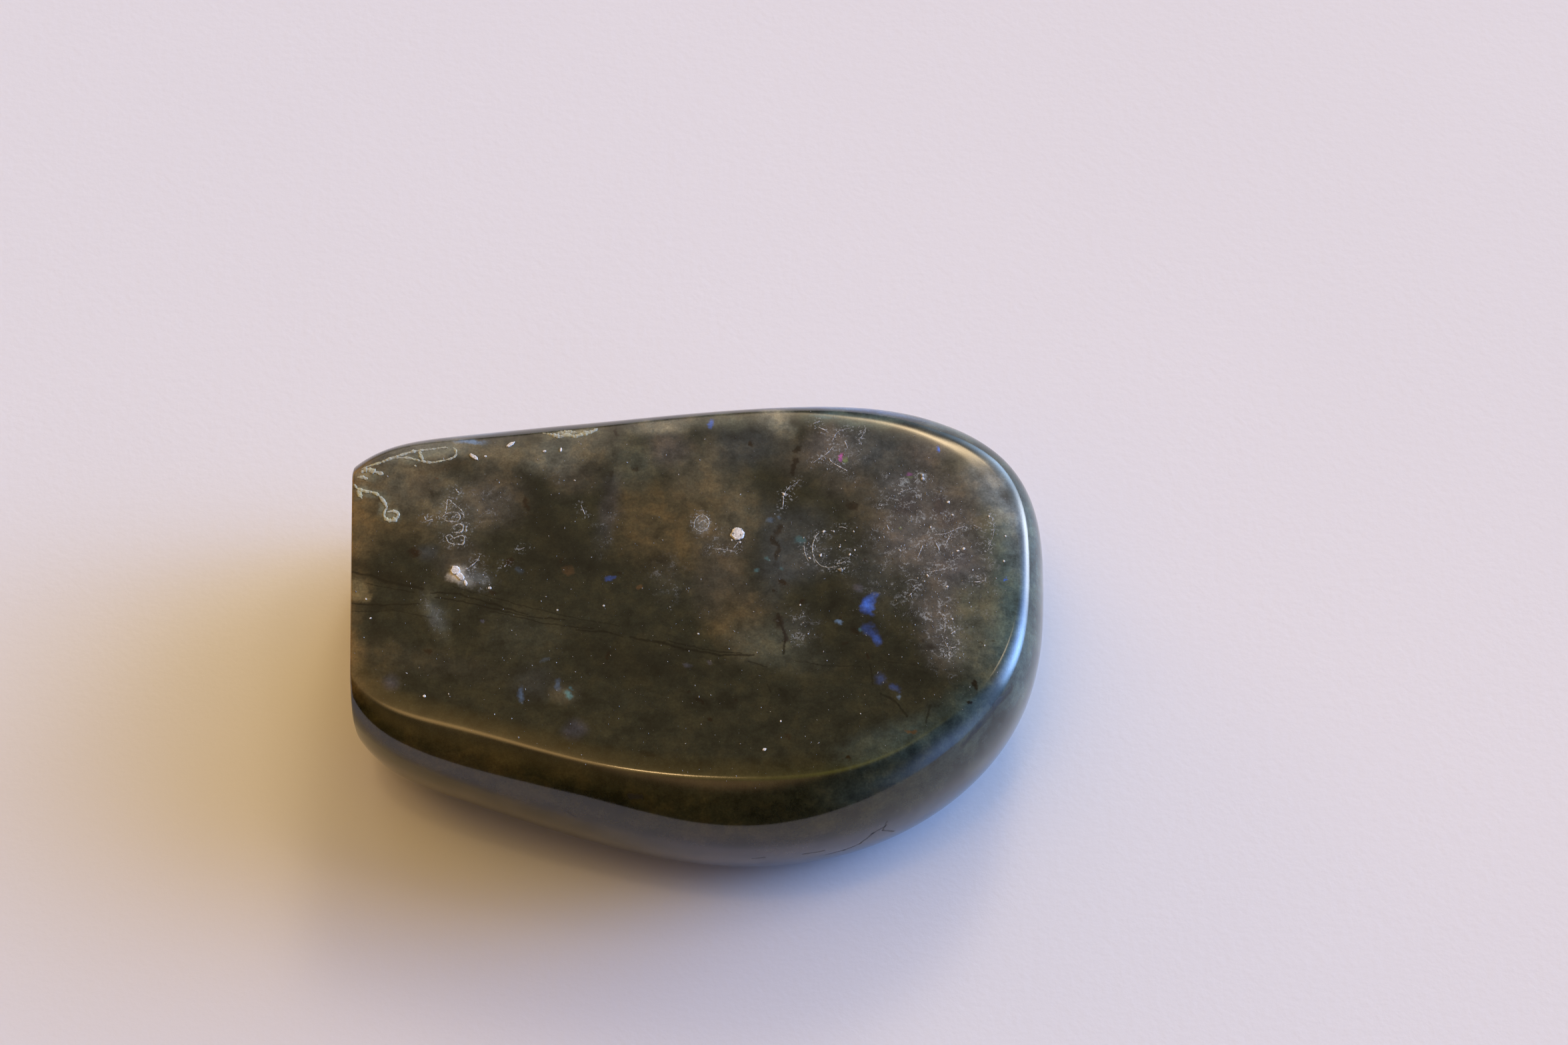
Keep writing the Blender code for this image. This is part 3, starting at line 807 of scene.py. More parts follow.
class Face:
    """The place on the top face, in millimetres, which a pattern may also read turned about Z."""

    STEP = 15.0

    def __init__(self, tree, place):
        self.tree = tree
        self.turns = {0.0: place}

    def turned(self, turn):
        """The place along and across that direction, in degrees, to the nearest step."""
        turn = round(turn / self.STEP) * self.STEP
        if turn not in self.turns:
            rise, run = math.sin(math.radians(turn)), math.cos(math.radians(turn))
            along, across = (
                self.tree.vector("DOT_PRODUCT", self.turns[0.0], way, output="Value")
                for way in ((run, rise, 0.0), (-rise, run, 0.0))
            )
            both = self.tree.add("ShaderNodeCombineXYZ", {}, {"X": along, "Y": across})
            self.turns[turn] = self.tree.out(both)
        return self.turns[turn], turn


def spot(face, at, long, wide, turn, soft, amount):
    """An oval spot with a soft border: amount inside, 0 outside."""
    place, turn = face.turned(turn)
    angle = math.radians(turn)
    along = at[0] * math.cos(angle) + at[1] * math.sin(angle)
    across = at[1] * math.cos(angle) - at[0] * math.sin(angle)
    size = (2 / long, 2 / wide, 0.0)
    inside = face.tree.vector("MULTIPLY_ADD", place, size, third=(-along * size[0], -across * size[1], 0.0))
    reach = face.tree.vector("LENGTH", inside, output="Value")
    return face.tree.ease(reach, 1.0 - soft, 1.0 + soft, amount, 0.0)


def line(place, points, width, amount):
    """A soft line through the points: amount on it, 0 beyond its width. One share for each stretch."""
    tree = place.tree
    shares = []
    for start, end in zip(points[:-1], points[1:]):
        start, end = (Vector((*point, 0.0)[:3]) for point in (start, end))
        along = end - start
        apart = tree.vector("SUBTRACT", place, tuple(start))
        reach = tree.vector("DOT_PRODUCT", apart, tuple(along / along.length_squared), output="Value")
        held = tree.out(tree.add("ShaderNodeClamp", {}, {"Value": reach}))
        on_line = tree.vector("SCALE", tuple(along), scale=held)
        gap = tree.vector("DISTANCE", apart, on_line, output="Value")
        shares.append(tree.ease(gap, width * 0.15, width, amount, 0.0))
    return shares


# ---------------------------------------------------------------------------------------------------
# Materials. The sizes of their patterns are in millimetres.


def polished_labradorite(finish):
    """Dark olive feldspar with clouds, cleavage lines, ore grains and blue flash under a high polish; the
    flash is a sheen painted into the colour.
    """
    material, tree = new_material("polished labradorite")
    place = millimetres(tree)
    height = tree.out(tree.add("ShaderNodeSeparateXYZ", {}, {0: place}), "Z")
    # The clouds hold the stone's colours and also painted light: the glow at the sawn end, and the table's
    # reflection and shade on the lower front wall.
    clouds = tree.painted("clouds", "Color")
    sawn = tree.painted("sawn")
    film = tree.painted("film")

    # Nothing in a stone has a ruled border: every pattern reads a place that wanders a little.
    coarse = tree.shift(place, 2.4, 1.0)
    fine = tree.shift(place, 0.50, 2.0)
    wander = tree.vector("MULTIPLY_ADD", coarse, (1.7, 1.7, 1.7), third=place)
    wander = tree.vector("MULTIPLY_ADD", fine, (0.80, 0.80, 0.80), third=wander)
    flat = tree.vector("MULTIPLY", wander, (1.0, 1.0, 0.0))
    calm = tree.vector("MULTIPLY_ADD", coarse, (0.6, 0.6, 0.6), third=place)
    calm = tree.vector("MULTIPLY_ADD", fine, (0.3, 0.3, 0.3), third=calm)
    on_face = Face(tree, flat)
    calm_flat = tree.vector("MULTIPLY", calm, (1.0, 1.0, 0.0))
    upright = tree.vector("MULTIPLY", calm, (1.0, 0.0, 1.0))
    front = tree.ease(tree.out(tree.add("ShaderNodeSeparateXYZ", {}, {0: place}), "Y"), 0.0, -8.0)

    # The top face: cleavage lines, then ore grains and flash, the flash a painted sheen.
    face = clouds
    for points, width, amount in VEINS:
        for stretch in line(calm_flat, points, width, amount):
            face = tree.mix(stretch, face, finish.seam)
    for rows, soft in ((GRAINS, 0.45), (FLASHES, 0.70)):
        for x, y, long, wide, turn, name, amount in rows:
            patch = spot(on_face, (x, y), long, wide, turn, soft, amount)
            face = tree.mix(patch, face, getattr(finish, name))
    top = tree.ease(height, FACE_COLOUR_START, FACE_COLOUR_START + FACE_COLOUR_BLEND)
    body = tree.mix(top, clouds, face)
    cracked = 0.0
    for points, width, amount in CRACKS:
        points = [(x, 0.0, z) for x, _y, z in points]
        for stretch in line(upright, points, width, amount):
            body = tree.mix(stretch * front, body, finish.seam)
            cracked = stretch * front + cracked

    # The feldspar's own grain: soft blotches, a faint lie along the cleavage, fine speckle.
    blotch = tree.noise(wander, 3.1, 3.0, 0.60)
    mottle = tree.noise(place, 0.95, 3.0, 0.65)
    speckle = tree.noise(place, 0.24, 1.0, 0.5)
    fibre = tree.noise(tree.vector("MULTIPLY", wander, (0.16, 1.3, 0.5)), 1.0, 2.0, 0.6)
    light = (blotch * 2.4 - 0.20) * (mottle + 0.50) * (speckle * 0.8 + 0.60)
    light = tree.maths("MAXIMUM", light, 0.30)
    body = tree.tint(body, light * (fibre * 0.4 + 0.80))
    cool = tree.vector("MULTIPLY", body, (0.86, 1.04, 1.04))
    body = tree.mix(mottle * 0.7, body, cool)
    warm = tree.vector("MULTIPLY", body, (1.18, 0.99, 0.78))
    body = tree.mix(tree.ease(blotch, 0.42, 0.66) * 0.7, body, warm)

    # Dried residue: broken white crumbs in patches, fine curling edges and a little haze.
    crumbs = tree.ease(tree.noise(place, 0.30, 3.0, 0.62), 0.555, 0.635)
    curls = tree.noise(wander, 1.4, 2.0, 0.55)
    edge = tree.ease(tree.maths("ABSOLUTE", curls - 0.5), 0.030, 0.006)
    patch = tree.ease(tree.noise(place, 1.7, 2.0, 0.6), 0.48, 0.62)
    lone = tree.painted("residue")
    body = tree.mix(crumbs * (film * patch * 0.50 + lone * 0.65), body, finish.frost)
    body = tree.mix(edge * patch * film * 0.62, body, finish.frost)
    body = tree.mix(film * mottle * 0.10, body, finish.frost)

    rough_face = tree.tint((0.15, 0.145, 0.11), mottle * 0.9 + 0.55)
    body = tree.mix(sawn, body, rough_face)

    gloss = finish.polish + film * patch * 0.10 + speckle * 0.03 + cracked * 0.35
    roughness = gloss + (finish.sawn - gloss) * sawn
    kerfs = tree.noise(tree.vector("MULTIPLY", place, (0.0, 0.12, 1.8)), 1.0, 1.0, 0.5)
    relief = speckle * (sawn * 0.03 + 0.0014) + sawn * kerfs * 0.10
    finish_material(tree, body, roughness, tree.bump(relief), {"IOR": FELDSPAR_IOR})
    return material


def dried_crust(dirt):
    """Cream-coloured mineral crust, yellower where it is thick."""
    material, tree = new_material("dried crust")
    place = millimetres(tree)
    lumps = tree.noise(place, 0.5, 3.0, 0.65)
    stain = tree.ease(tree.noise(place, 1.6, 1.0), 0.42, 0.66)
    thick = tree.mix(stain, dirt.crust, tuple(c * w for c, w in zip(dirt.crust, (1.08, 1.02, 0.78))))
    base = tree.tint(thick, lumps * 1.1 + 0.35)
    finish_material(tree, base, lumps * 0.3 + 0.5, tree.bump(lumps, 0.06 * MM, 0.7))
    return material


def pale_residue(name, shade, grain):
    """A pale matt residue of fine grains: drop outlines, lint, dust."""
    material, tree = new_material(name)
    place = millimetres(tree)
    grains = tree.noise(place, grain, 2.0, 0.6)
    patchy = tree.noise(place, 2.2, 1.0, 0.5)
    base = tree.tint(shade, tree.ease(grains, 0.30, 0.70, 0.35, 1.35) * (patchy + 0.5))
    finish_material(tree, base, grains * 0.3 + 0.45, tree.bump(grains, 0.03 * MM, 0.5))
    return material


def white_flake(dirt):
    """Chalky white flakes with a grey grain and three dark pits in the largest."""
    material, tree = new_material("white flake")
    place = millimetres(tree)
    grains = tree.noise(place, 0.22, 3.0, 0.65)
    base = tree.tint(dirt.flake, tree.ease(grains, 0.25, 0.65, 0.45, 1.1))
    face = Face(tree, tree.vector("MULTIPLY", place, (1.0, 1.0, 0.0)))
    for at, size in (((4.45, 8.55), 0.28), ((5.35, 8.35), 0.22), ((5.55, 9.15), 0.26)):
        pit = spot(face, at, size, size, 0, 0.4, 0.85)
        base = tree.mix(pit, base, (0.06, 0.055, 0.04))
    finish_material(tree, base, grains * 0.3 + 0.4, tree.bump(grains, 0.05 * MM, 0.6))
    return material


def pale_paper(stage):
    """The plain pale table top."""
    material, tree = new_material("pale paper")
    place = millimetres(tree)
    fibres = tree.noise(place, 1.2, 3.0, 0.6)
    cockle = tree.noise(place, 60.0, 2.0, 0.5)
    base = tree.tint(stage.floor, 0.985 + cockle * 0.03)
    finish_material(tree, base, 0.85, tree.bump(fibres, 0.1 * MM, 0.25), {"Specular IOR Level": 0.2})
    return material


# ---------------------------------------------------------------------------------------------------
# Geometry trees.


def geometry_tree(name, inputs):
    """A geometry tree and its named inputs, given as (name, socket type, default)."""
    group = bpy.data.node_groups.new(name, "GeometryNodeTree")
    sockets = group.interface
    sockets.new_socket("Geometry", in_out="INPUT", socket_type="NodeSocketGeometry")
    sockets.new_socket("Geometry", in_out="OUTPUT", socket_type="NodeSocketGeometry")
    for label, kind, default in inputs:
        socket = sockets.new_socket(label, in_out="INPUT", socket_type=kind)
        if default is not None:
            socket.default_value = default
    tree = Tree(group)
    start = tree.add("NodeGroupInput")
    return group, tree, {socket.name: Value(tree, socket) for socket in start.outputs if socket.name}


def close_geometry(tree, geometry, material):
    """Ends a geometry tree: instances are made real and get their material."""
    real = tree.add("GeometryNodeRealizeInstances", {}, {"Geometry": geometry})
    coated = tree.add(
        "GeometryNodeSetMaterial", {}, {"Geometry": tree.out(real), "Material": material},
    )
    tree.add("NodeGroupOutput", {}, {"Geometry": tree.out(coated)})


def wave_tree():
    """The shallow waves that hand polishing leaves, pressed into whatever the point attribute 'free'
    allows."""
    group, tree, given = geometry_tree(
        "polishing waves",
        (("Depth", "NodeSocketFloat", 0.03 * MM), ("Size", "NodeSocketFloat", 9.0 * MM),
         ("Material", "NodeSocketMaterial", None)),
    )
    place = tree.out(tree.add("GeometryNodeInputPosition"))
    normal = tree.out(tree.add("GeometryNodeInputNormal"))
    free = tree.stored("free")
    waves = tree.noise(place, given["Size"], 1.0)
    push = (waves - 0.75) * given["Depth"] * 2.0 * free
    moved = tree.add(
        "GeometryNodeSetPosition", {},
        {"Geometry": given["Geometry"], "Offset": tree.vector("SCALE", normal, scale=push)},
    )
    close_geometry(tree, tree.out(moved), given["Material"])
    return group


def bead_tree():
    """A lumpy flattened bead along every line of the carrier, as wide as its point attribute 'width'
    says."""
    group, tree, given = geometry_tree(
        "lumpy bead",
        (("Step", "NodeSocketFloat", 0.1 * MM), ("Flatness", "NodeSocketFloat", 0.35),
         ("Lumps", "NodeSocketFloat", 0.5), ("Lump Size", "NodeSocketFloat", 0.5 * MM),
         ("Sides", "NodeSocketInt", 8), ("Seed", "NodeSocketFloat", 7.0),
         ("Material", "NodeSocketMaterial", None)),
    )
    lines = tree.add("GeometryNodeMeshToCurve", {}, {"Mesh": given["Geometry"]})
    soft = tree.add("GeometryNodeCurveSplineType", {"spline_type": "CATMULL_ROM"}, {0: tree.out(lines)})
    fine = tree.add(
        "GeometryNodeResampleCurve", {"mode": "LENGTH"}, {0: tree.out(soft), "Length": given["Step"]},
    )
    upright = tree.add("GeometryNodeSetCurveNormal", {"mode": "Z_UP"}, {0: tree.out(fine)})
    place = tree.out(tree.add("GeometryNodeInputPosition"))
    ripple = tree.add(
        "ShaderNodeTexNoise", {"noise_dimensions": "4D"},
        {"Vector": place, "W": given["Seed"], "Scale": 1.0 / given["Lump Size"], "Detail": 2.0},
    )
    width = tree.stored("width")
    reach = tree.out(tree.add("GeometryNodeSplineParameter"), "Factor")
    taper = (reach * (1.0 - reach) * 4.0 + 0.02) ** 0.25
    radius = width * 0.5 * ((tree.out(ripple) - 0.5) * 3.0 * given["Lumps"] + 1.0) * taper
    circle = tree.add("GeometryNodeCurvePrimitiveCircle", {}, {"Resolution": given["Sides"], "Radius": 1.0})
    squeeze = tree.out(tree.add("ShaderNodeCombineXYZ", {}, {"X": 1.0, "Y": given["Flatness"], "Z": 1.0}))
    section = tree.add("GeometryNodeTransform", {}, {0: tree.out(circle), "Scale": squeeze})
    bead = tree.add(
        "GeometryNodeCurveToMesh", {},
        {"Curve": tree.out(upright), "Profile Curve": tree.out(section), "Scale": radius, "Fill Caps": True},
    )
    shake = tree.shift(place, given["Lump Size"] * 0.5, 2.0)
    shaken = tree.add(
        "GeometryNodeSetPosition", {},
        {"Geometry": tree.out(bead),
         "Offset": tree.vector("SCALE", shake, scale=given["Lumps"] * given["Lump Size"] * 0.35)},
    )
    smooth = tree.add("GeometryNodeSetShadeSmooth", {}, {0: tree.out(shaken)})
    close_geometry(tree, tree.out(smooth), given["Material"])
    return group


def dust_tree():
    """Angular grains scattered over a surface, as dense as its point attribute 'dust' says, in grains
    to the square millimetre."""
    group, tree, given = geometry_tree(
        "scattered dust",
        (("Amount", "NodeSocketFloat", 1.0), ("Size", "NodeSocketFloat", 0.1 * MM),
         ("Seed", "NodeSocketInt", 7), ("Material", "NodeSocketMaterial", None)),
    )
    dust = tree.stored("dust")
    strewn = tree.add(
        "GeometryNodeDistributePointsOnFaces", {},
        {"Mesh": given["Geometry"], "Density": dust * given["Amount"] * 1e6, "Seed": given["Seed"]},
    )
    grain = tree.add("GeometryNodeMeshIcoSphere", {}, {"Radius": 1.0, "Subdivisions": 1})
    turn, shape = (
        tree.out(tree.add(
            "FunctionNodeRandomValue", {"data_type": "FLOAT_VECTOR"}, {0: least, 1: most, "Seed": seed},
        ))
        for least, most, seed in (
            ((0.0, 0.0, 0.0), (6.3, 6.3, 6.3), 3),
            ((0.35, 0.2, 0.15), (1.0, 0.6, 0.4), 4),
        )
    )
    chance = tree.out(tree.add(
        "FunctionNodeRandomValue", {"data_type": "FLOAT"}, {2: 0.0, 3: 1.0, "Seed": 5},
    ), 1)
    size = given["Size"] * (0.45 + chance ** 5.0 * 1.7)
    placed = tree.add(
        "GeometryNodeInstanceOnPoints", {},
        {"Points": tree.out(strewn), "Instance": tree.out(grain), "Rotation": turn,
         "Scale": tree.vector("SCALE", shape, scale=size)},
    )
    close_geometry(tree, tree.out(placed), given["Material"])
    return group


def grow(name, carrier, group, values):
    """Runs a geometry tree on a carrier and returns the result as a new object with a plain mesh."""
    modifier = carrier.modifiers.new(group.name, "NODES")
    modifier.node_group = group
    for socket in group.interface.items_tree:
        if socket.in_out == "INPUT" and socket.name in values:
            modifier[socket.identifier] = values[socket.name]
    depsgraph = bpy.context.evaluated_depsgraph_get()
    mesh = bpy.data.meshes.new_from_object(carrier.evaluated_get(depsgraph))
    carrier.modifiers.remove(modifier)
    carrier_mesh = carrier.data
    bpy.data.objects.remove(carrier)
    bpy.data.meshes.remove(carrier_mesh)
    if not mesh.polygons:
        raise RuntimeError(f"the geometry tree {group.name} made no faces for {name}")
    mesh.name = name
    return add_object(name, mesh)


def add_object(name, mesh):
    """A new object at the origin that shows the mesh."""
    thing = bpy.data.objects.new(name, mesh)
    bpy.context.scene.collection.objects.link(thing)
    return thing


def lay(piece):
    """The piece is part of the stone: it moves with it."""
    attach(piece, BODY)


# ---------------------------------------------------------------------------------------------------
# The stone.


def closed_curve(stations, count):
    """count points on the smooth closed curve through the stations, with all their values.

    It is a cubic spline over the distances between the stations, and its bending runs on without a
    jump everywhere, also from the last station to the first.
    """
    knots = np.array(stations)
    number = len(knots)
    gaps = np.linalg.norm(np.roll(knots, -1, axis=0)[:, :2] - knots[:, :2], axis=1)
    balance = np.zeros((number, number))
    pull = np.zeros_like(knots)
    for here in range(number):
        after = (here + 1) % number
        balance[here, here - 1] += gaps[here - 1]
        balance[here, here] += 2 * (gaps[here - 1] + gaps[here])
        balance[here, after] += gaps[here]
        rise_after = (knots[after] - knots[here]) / gaps[here]
        rise_before = (knots[here] - knots[here - 1]) / gaps[here - 1]
        pull[here] = 6 * (rise_after - rise_before)
    bending = np.linalg.solve(balance, pull)

    starts = np.concatenate([[0.0], np.cumsum(gaps)])
    along = np.linspace(0.0, starts[-1], count, endpoint=False)
    here = np.searchsorted(starts, along, side="right") - 1
    after = (here + 1) % number
    gap = gaps[here][:, None]
    done = along[:, None] - starts[here][:, None]
    left = gap - done
    bend = bending[here] * left**3 / (6 * gap) + bending[after] * done**3 / (6 * gap)
    line_here = (knots[here] / gap - bending[here] * gap / 6) * left
    line_after = (knots[after] / gap - bending[after] * gap / 6) * done
    return bend + line_here + line_after


def stone_rings(shape):
    """The stone's rings from the middle of the top face down to the middle of the underside, in
    millimetres."""
    curve = closed_curve(STATIONS, SPOKES)
    edge = curve[:, :2]
    bulge, waist, tuck = curve[:, 2], curve[:, 3], curve[:, 4]
    along = np.roll(edge, -1, axis=0) - np.roll(edge, 1, axis=0)
    along /= np.linalg.norm(along, axis=1)[:, None]
    outward = np.stack([along[:, 1], -along[:, 0]], axis=1)

    thickness = shape.thickness / MM
    roll = shape.edge_roll / MM
    drop = shape.edge_drop / MM
    edge_height = thickness - drop
    # The rim is rounder at the back right, and the wall falls off more steeply at the round end.
    to_right, to_back, to_end = (
        np.clip((edge[:, axis] - start) / 6.0, 0.0, 1.0) for axis, start in ((0, 14.0), (1, 8.0), (0, 30.0))
    )
    rim = np.minimum(shape.rim_round / MM * (1.0 + 1.2 * (to_right * to_back)), 0.4 * bulge)
    crisp = 1 - 0.3 * to_end
    start = math.sin(SHOULDER_START)

    def ring(offset, height):
        heights = np.broadcast_to(height, SPOKES)
        offsets = np.broadcast_to(offset, SPOKES)[:, None]
        return np.column_stack([edge + outward * offsets, heights])

    def face(inside):
        """On the top face, that far inside its edge."""
        return ring(-inside, thickness - drop * (1 - inside / roll) ** 2)

    def shoulder(turn):
        """On the wall's upper section."""
        offset = bulge * ((np.sin(turn) - start) / (1 - start)) ** crisp
        return ring(offset, waist + (edge_height - waist) * np.cos(turn) / math.cos(SHOULDER_START))

    def shrunk(outer, count):
        """Rings from the middle of a flat face out to a ring, with neither end."""
        middle = outer.mean(axis=0)
        return [middle + (outer - middle) * part for part in np.linspace(0, 1, count + 2)[1:-1]]

    rings = shrunk(face(roll), FACE_RINGS)
    for left in np.linspace(1, 0, ROLL_RINGS + 1):
        rings.append(face(rim + (roll - rim) * left))

    past_rim = np.arcsin(start + (rim / bulge) ** (1 / crisp) * (1 - start))
    inner, corner, outer = rings[-1], ring(0.0, edge_height), shoulder(past_rim)
    for step in np.linspace(0, 1, RIM_RINGS + 2)[1:-1]:
        rings.append(inner * (1 - step) ** 2 + corner * 2 * step * (1 - step) + outer * step**2)

    for step in np.linspace(0, 1, SHOULDER_RINGS):
        rings.append(shoulder(past_rim + (math.pi / 2 - past_rim) * step))
    for turn in np.linspace(0, TUCK_END, TUCK_RINGS + 1)[1:]:
        offset = bulge - tuck * (1 - math.cos(turn)) / (1 - math.cos(TUCK_END))
        rings.append(ring(offset, waist * (1 - math.sin(turn) / math.sin(TUCK_END))))
    rings.extend(reversed(shrunk(rings[-1], UNDERSIDE_RINGS)))
    return rings


def loft(rings):
    """A closed bmesh through the rings, in metres, with a pole in the middle of the first and last."""
    shell = bmesh.new()
    loops = [[shell.verts.new(point * MM) for point in ring] for ring in rings]
    for upper, lower in zip(loops[:-1], loops[1:]):
        for here in range(len(upper)):
            after = (here + 1) % len(upper)
            shell.faces.new((upper[here], lower[here], lower[after], upper[after]))
    top = shell.verts.new(rings[0].mean(axis=0) * MM)
    bottom = shell.verts.new(rings[-1].mean(axis=0) * MM)
    for here in range(SPOKES):
        after = (here + 1) % SPOKES
        shell.faces.new((top, loops[0][here], loops[0][after]))
        shell.faces.new((bottom, loops[-1][after], loops[-1][here]))
    return shell


def saw_off(shell, radius, sawn):
    """Saws off the stone's end, rounds the worn edge round the cut and closes the cut with rings."""
    point = Vector((SAW_POINT[0] * MM, SAW_POINT[1] * MM, 0.0))
    outward = Vector((-math.cos(SAW_YAW), -math.sin(SAW_YAW), 0.0))
    for turn in SAW_EDGE_TURNS:
        inside = radius * (1 - math.cos(math.radians(turn)))
        bmesh.ops.bisect_plane(
            shell, geom=shell.verts[:] + shell.edges[:] + shell.faces[:], dist=2e-6,
            plane_co=point - outward * inside, plane_no=outward, clear_outer=turn == 0.0,
        )
    shell.normal_update()
    moves = []
    for corner in shell.verts:
        inside = (point - corner.co).dot(outward)
        if inside < radius - 1e-7:
            way = corner.normal - outward * corner.normal.dot(outward)
            way.normalize()
            sink = radius - math.sqrt(max(0.0, radius**2 - (radius - max(inside, 0.0)) ** 2))
            moves.append((corner, corner.co - way * sink))
    for corner, target in moves:
        corner.co = target

    border = [edge for edge in shell.edges if edge.is_boundary]
    start = border[0].verts[0]
    loop, edge = [start], border[0]
    while True:
        corner = edge.other_vert(loop[-1])
        if corner is start:
            break
        loop.append(corner)
        edge = next(e for e in corner.link_edges if e.is_boundary and e is not edge)
    middle = sum((corner.co for corner in loop), Vector()) / len(loop)
    shares = [0.985] + [step / SAWN_RINGS for step in range(SAWN_RINGS - 1, 0, -1)]
    outer = loop
    for part in shares:
        inner = [shell.verts.new(middle.lerp(corner.co, part)) for corner in loop]
        for here in range(len(loop)):
            after = (here + 1) % len(loop)
            shell.faces.new((outer[here], outer[after], inner[after], inner[here]))
        for corner in inner:
            corner[sawn] = 1.0
        outer = inner
    pole = shell.verts.new(middle)
    pole[sawn] = 1.0
    for here in range(len(loop)):
        shell.faces.new((outer[here], outer[(here + 1) % len(loop)], pole))
    for corner in loop:
        corner[sawn] = 0.7
    bmesh.ops.recalc_face_normals(shell, faces=shell.faces[:])


def gap_to_lines(places, lines):
    """How far each place is from the nearest of the lines, as an array."""
    nearest = np.full(len(places), 1e9)
    for points in lines:
        for start, end in zip(np.array(points[:-1]), np.array(points[1:])):
            along = end - start
            part = np.clip((places - start) @ along / along.dot(along), 0.0, 1.0)
            nearest = np.minimum(nearest, np.linalg.norm(places - start - part[:, None] * along, axis=1))
    return nearest


def wandered(places):
    """The places, each moved a little, so that no cloud has a ruled border."""
    noise.seed_set(CLOUD_SEED)
    moves = []
    for place in places:
        place = Vector(place)
        moves.append(noise.noise_vector(place / 3.2) * 0.9 + noise.noise_vector(place / 1.1) * 0.35)
    return places + np.array(moves)


def cloud_share(gaps, amount, soft=0.75):
    """amount in the middle of a cloud, easing to 0 across its border, where the gap is 1."""
    part = np.clip((1.0 + soft - gaps) / (2.0 * soft), 0.0, 1.0)
    return (amount * part * part * (3.0 - 2.0 * part))[:, None]


def oval_gaps(places, x, y, long, wide, turn):
    """How far each place is from an oval's middle, 1 on its border, along it and across it."""
    angle = math.radians(turn)
    right, up = places[:, 0] - x, places[:, 1] - y
    along = (right * math.cos(angle) + up * math.sin(angle)) * 2 / long
    return along, (up * math.cos(angle) - right * math.sin(angle)) * 2 / wide


def cloud_colours(places, finish):
    """The stone's colour at each place: moss to teal in the wall, olive in the top face, and the
    clouds in both, among them a painted glow at the sawn end, and a painted reflection of the table
    and painted shade on the lower front wall."""
    moved = wandered(places)
    along = np.clip((moved[:, :1] - 20.0) / 22.0, 0.0, 1.0)
    wall = np.array(finish.moss) * (1.0 - along) + np.array(finish.teal) * 0.5 * along
    for x, y, z, long, high, name, amount in WALL_CLOUDS:
        gaps = np.linalg.norm((moved - (x, y, z)) * (2 / long, 2 / long, 2 / high), axis=1)
        wall += (np.array(getattr(finish, name)) - wall) * cloud_share(gaps, amount)

    face = np.tile(np.array(finish.olive), (len(places), 1))
    for *oval, name, amount in CLOUDS:
        gaps = np.hypot(*oval_gaps(moved, *oval))
        face += (np.array(getattr(finish, name)) - face) * cloud_share(gaps, amount)

    top = np.clip((places[:, 2:] - FACE_COLOUR_START) / FACE_COLOUR_BLEND, 0.0, 1.0)
    return wall + (face - wall) * top * top * (3.0 - 2.0 * top)


def dust_density(places, normals):
    """Grains to the square millimetre at each place."""
    density = np.zeros(len(places))
    for *oval, grains in DUST_CLUSTERS:
        along, across = oval_gaps(places, *oval)
        density += grains * np.exp(-1.2 * (along**2 + across**2))
    return density * np.clip((normals[:, 2] - 0.80) / 0.15, 0.0, 1.0)


def point_values(mesh, name, values):
    """Stores a number for each point of a mesh."""
    attribute = mesh.attributes.get(name) or mesh.attributes.new(name, "FLOAT", "POINT")
    attribute.data.foreach_set("value", np.asarray(values, np.float32))


def point_colours(mesh, name, colours):
    """Stores a colour for each point of a mesh."""
    attribute = mesh.attributes.new(name, "FLOAT_COLOR", "POINT")
    rows = np.column_stack([colours, np.ones(len(colours))])
    attribute.data.foreach_set("color", rows.astype(np.float32).ravel())


def vertex_arrays(mesh):
    """The places of a mesh's points in millimetres, and their normals."""
    places = np.empty(len(mesh.vertices) * 3, np.float32)
    mesh.vertices.foreach_get("co", places)
    normals = np.array([corner.vector[:] for corner in mesh.vertex_normals])
    return places.reshape(-1, 3).astype(float) / MM, normals


def build_stone(settings):
    """The whole stone as one closed mesh, with its material."""
    shell = loft(stone_rings(settings.shape))
    sawn = shell.verts.layers.float.new("sawn")
    saw_off(shell, settings.shape.saw_round, sawn)
    mesh = bpy.data.meshes.new(NODE)
    shell.to_mesh(mesh)
    shell.free()

    # The box's middle stands over the origin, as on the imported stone.
    places, normals = vertex_arrays(mesh)
    middle = (places.min(axis=0) + places.max(axis=0)) / 2
    target = (cad_low + cad_high) / 2 / MM
    mesh.transform(Matrix.Translation(Vector((target.x - middle[0], target.y - middle[1], 0.0)) * MM))

    places, normals = vertex_arrays(mesh)
    cut = np.empty(len(places), np.float32)
    mesh.attributes["sawn"].data.foreach_get("value", cut)
    resting = np.clip((places[:, 2] - 0.3) / 1.5, 0.0, 1.0)
    point_values(mesh, "free", resting * (1.0 - np.ceil(cut)))
    # The clouds attribute also carries painted light: the glow at the sawn end, and the mirrored table and
    # its shadow on the lower front wall.
    point_colours(mesh, "clouds", cloud_colours(places, settings.finish))
    point_values(mesh, "film", np.clip((dust_density(places, normals) - 0.7) / 4.3, 0.0, 1.0))
    # Off the top face, places count as far from every stroke.
    on_face = places * (1.0, 1.0, 0.0) + (0.0, 0.0, 50.0) * (places[:, 2:] < 20.0)
    strokes = [[(*point, 0.0) for point in points] for points, _width in THREADS + DROP_OUTLINES]
    point_values(mesh, "residue", np.clip(1.4 - gap_to_lines(on_face, strokes) / 0.6, 0.0, 1.0))
    mesh.shade_smooth()

    waved = grow(
        STONE, add_object("stone_carrier", mesh), wave_tree(),
        {"Depth": settings.shape.wave_depth, "Size": settings.shape.wave_size,
         "Material": polished_labradorite(settings.finish)},
    )
    mesh = waved.data
    mesh.shade_smooth()
    mesh.attributes.remove(mesh.attributes["free"])
    return waved


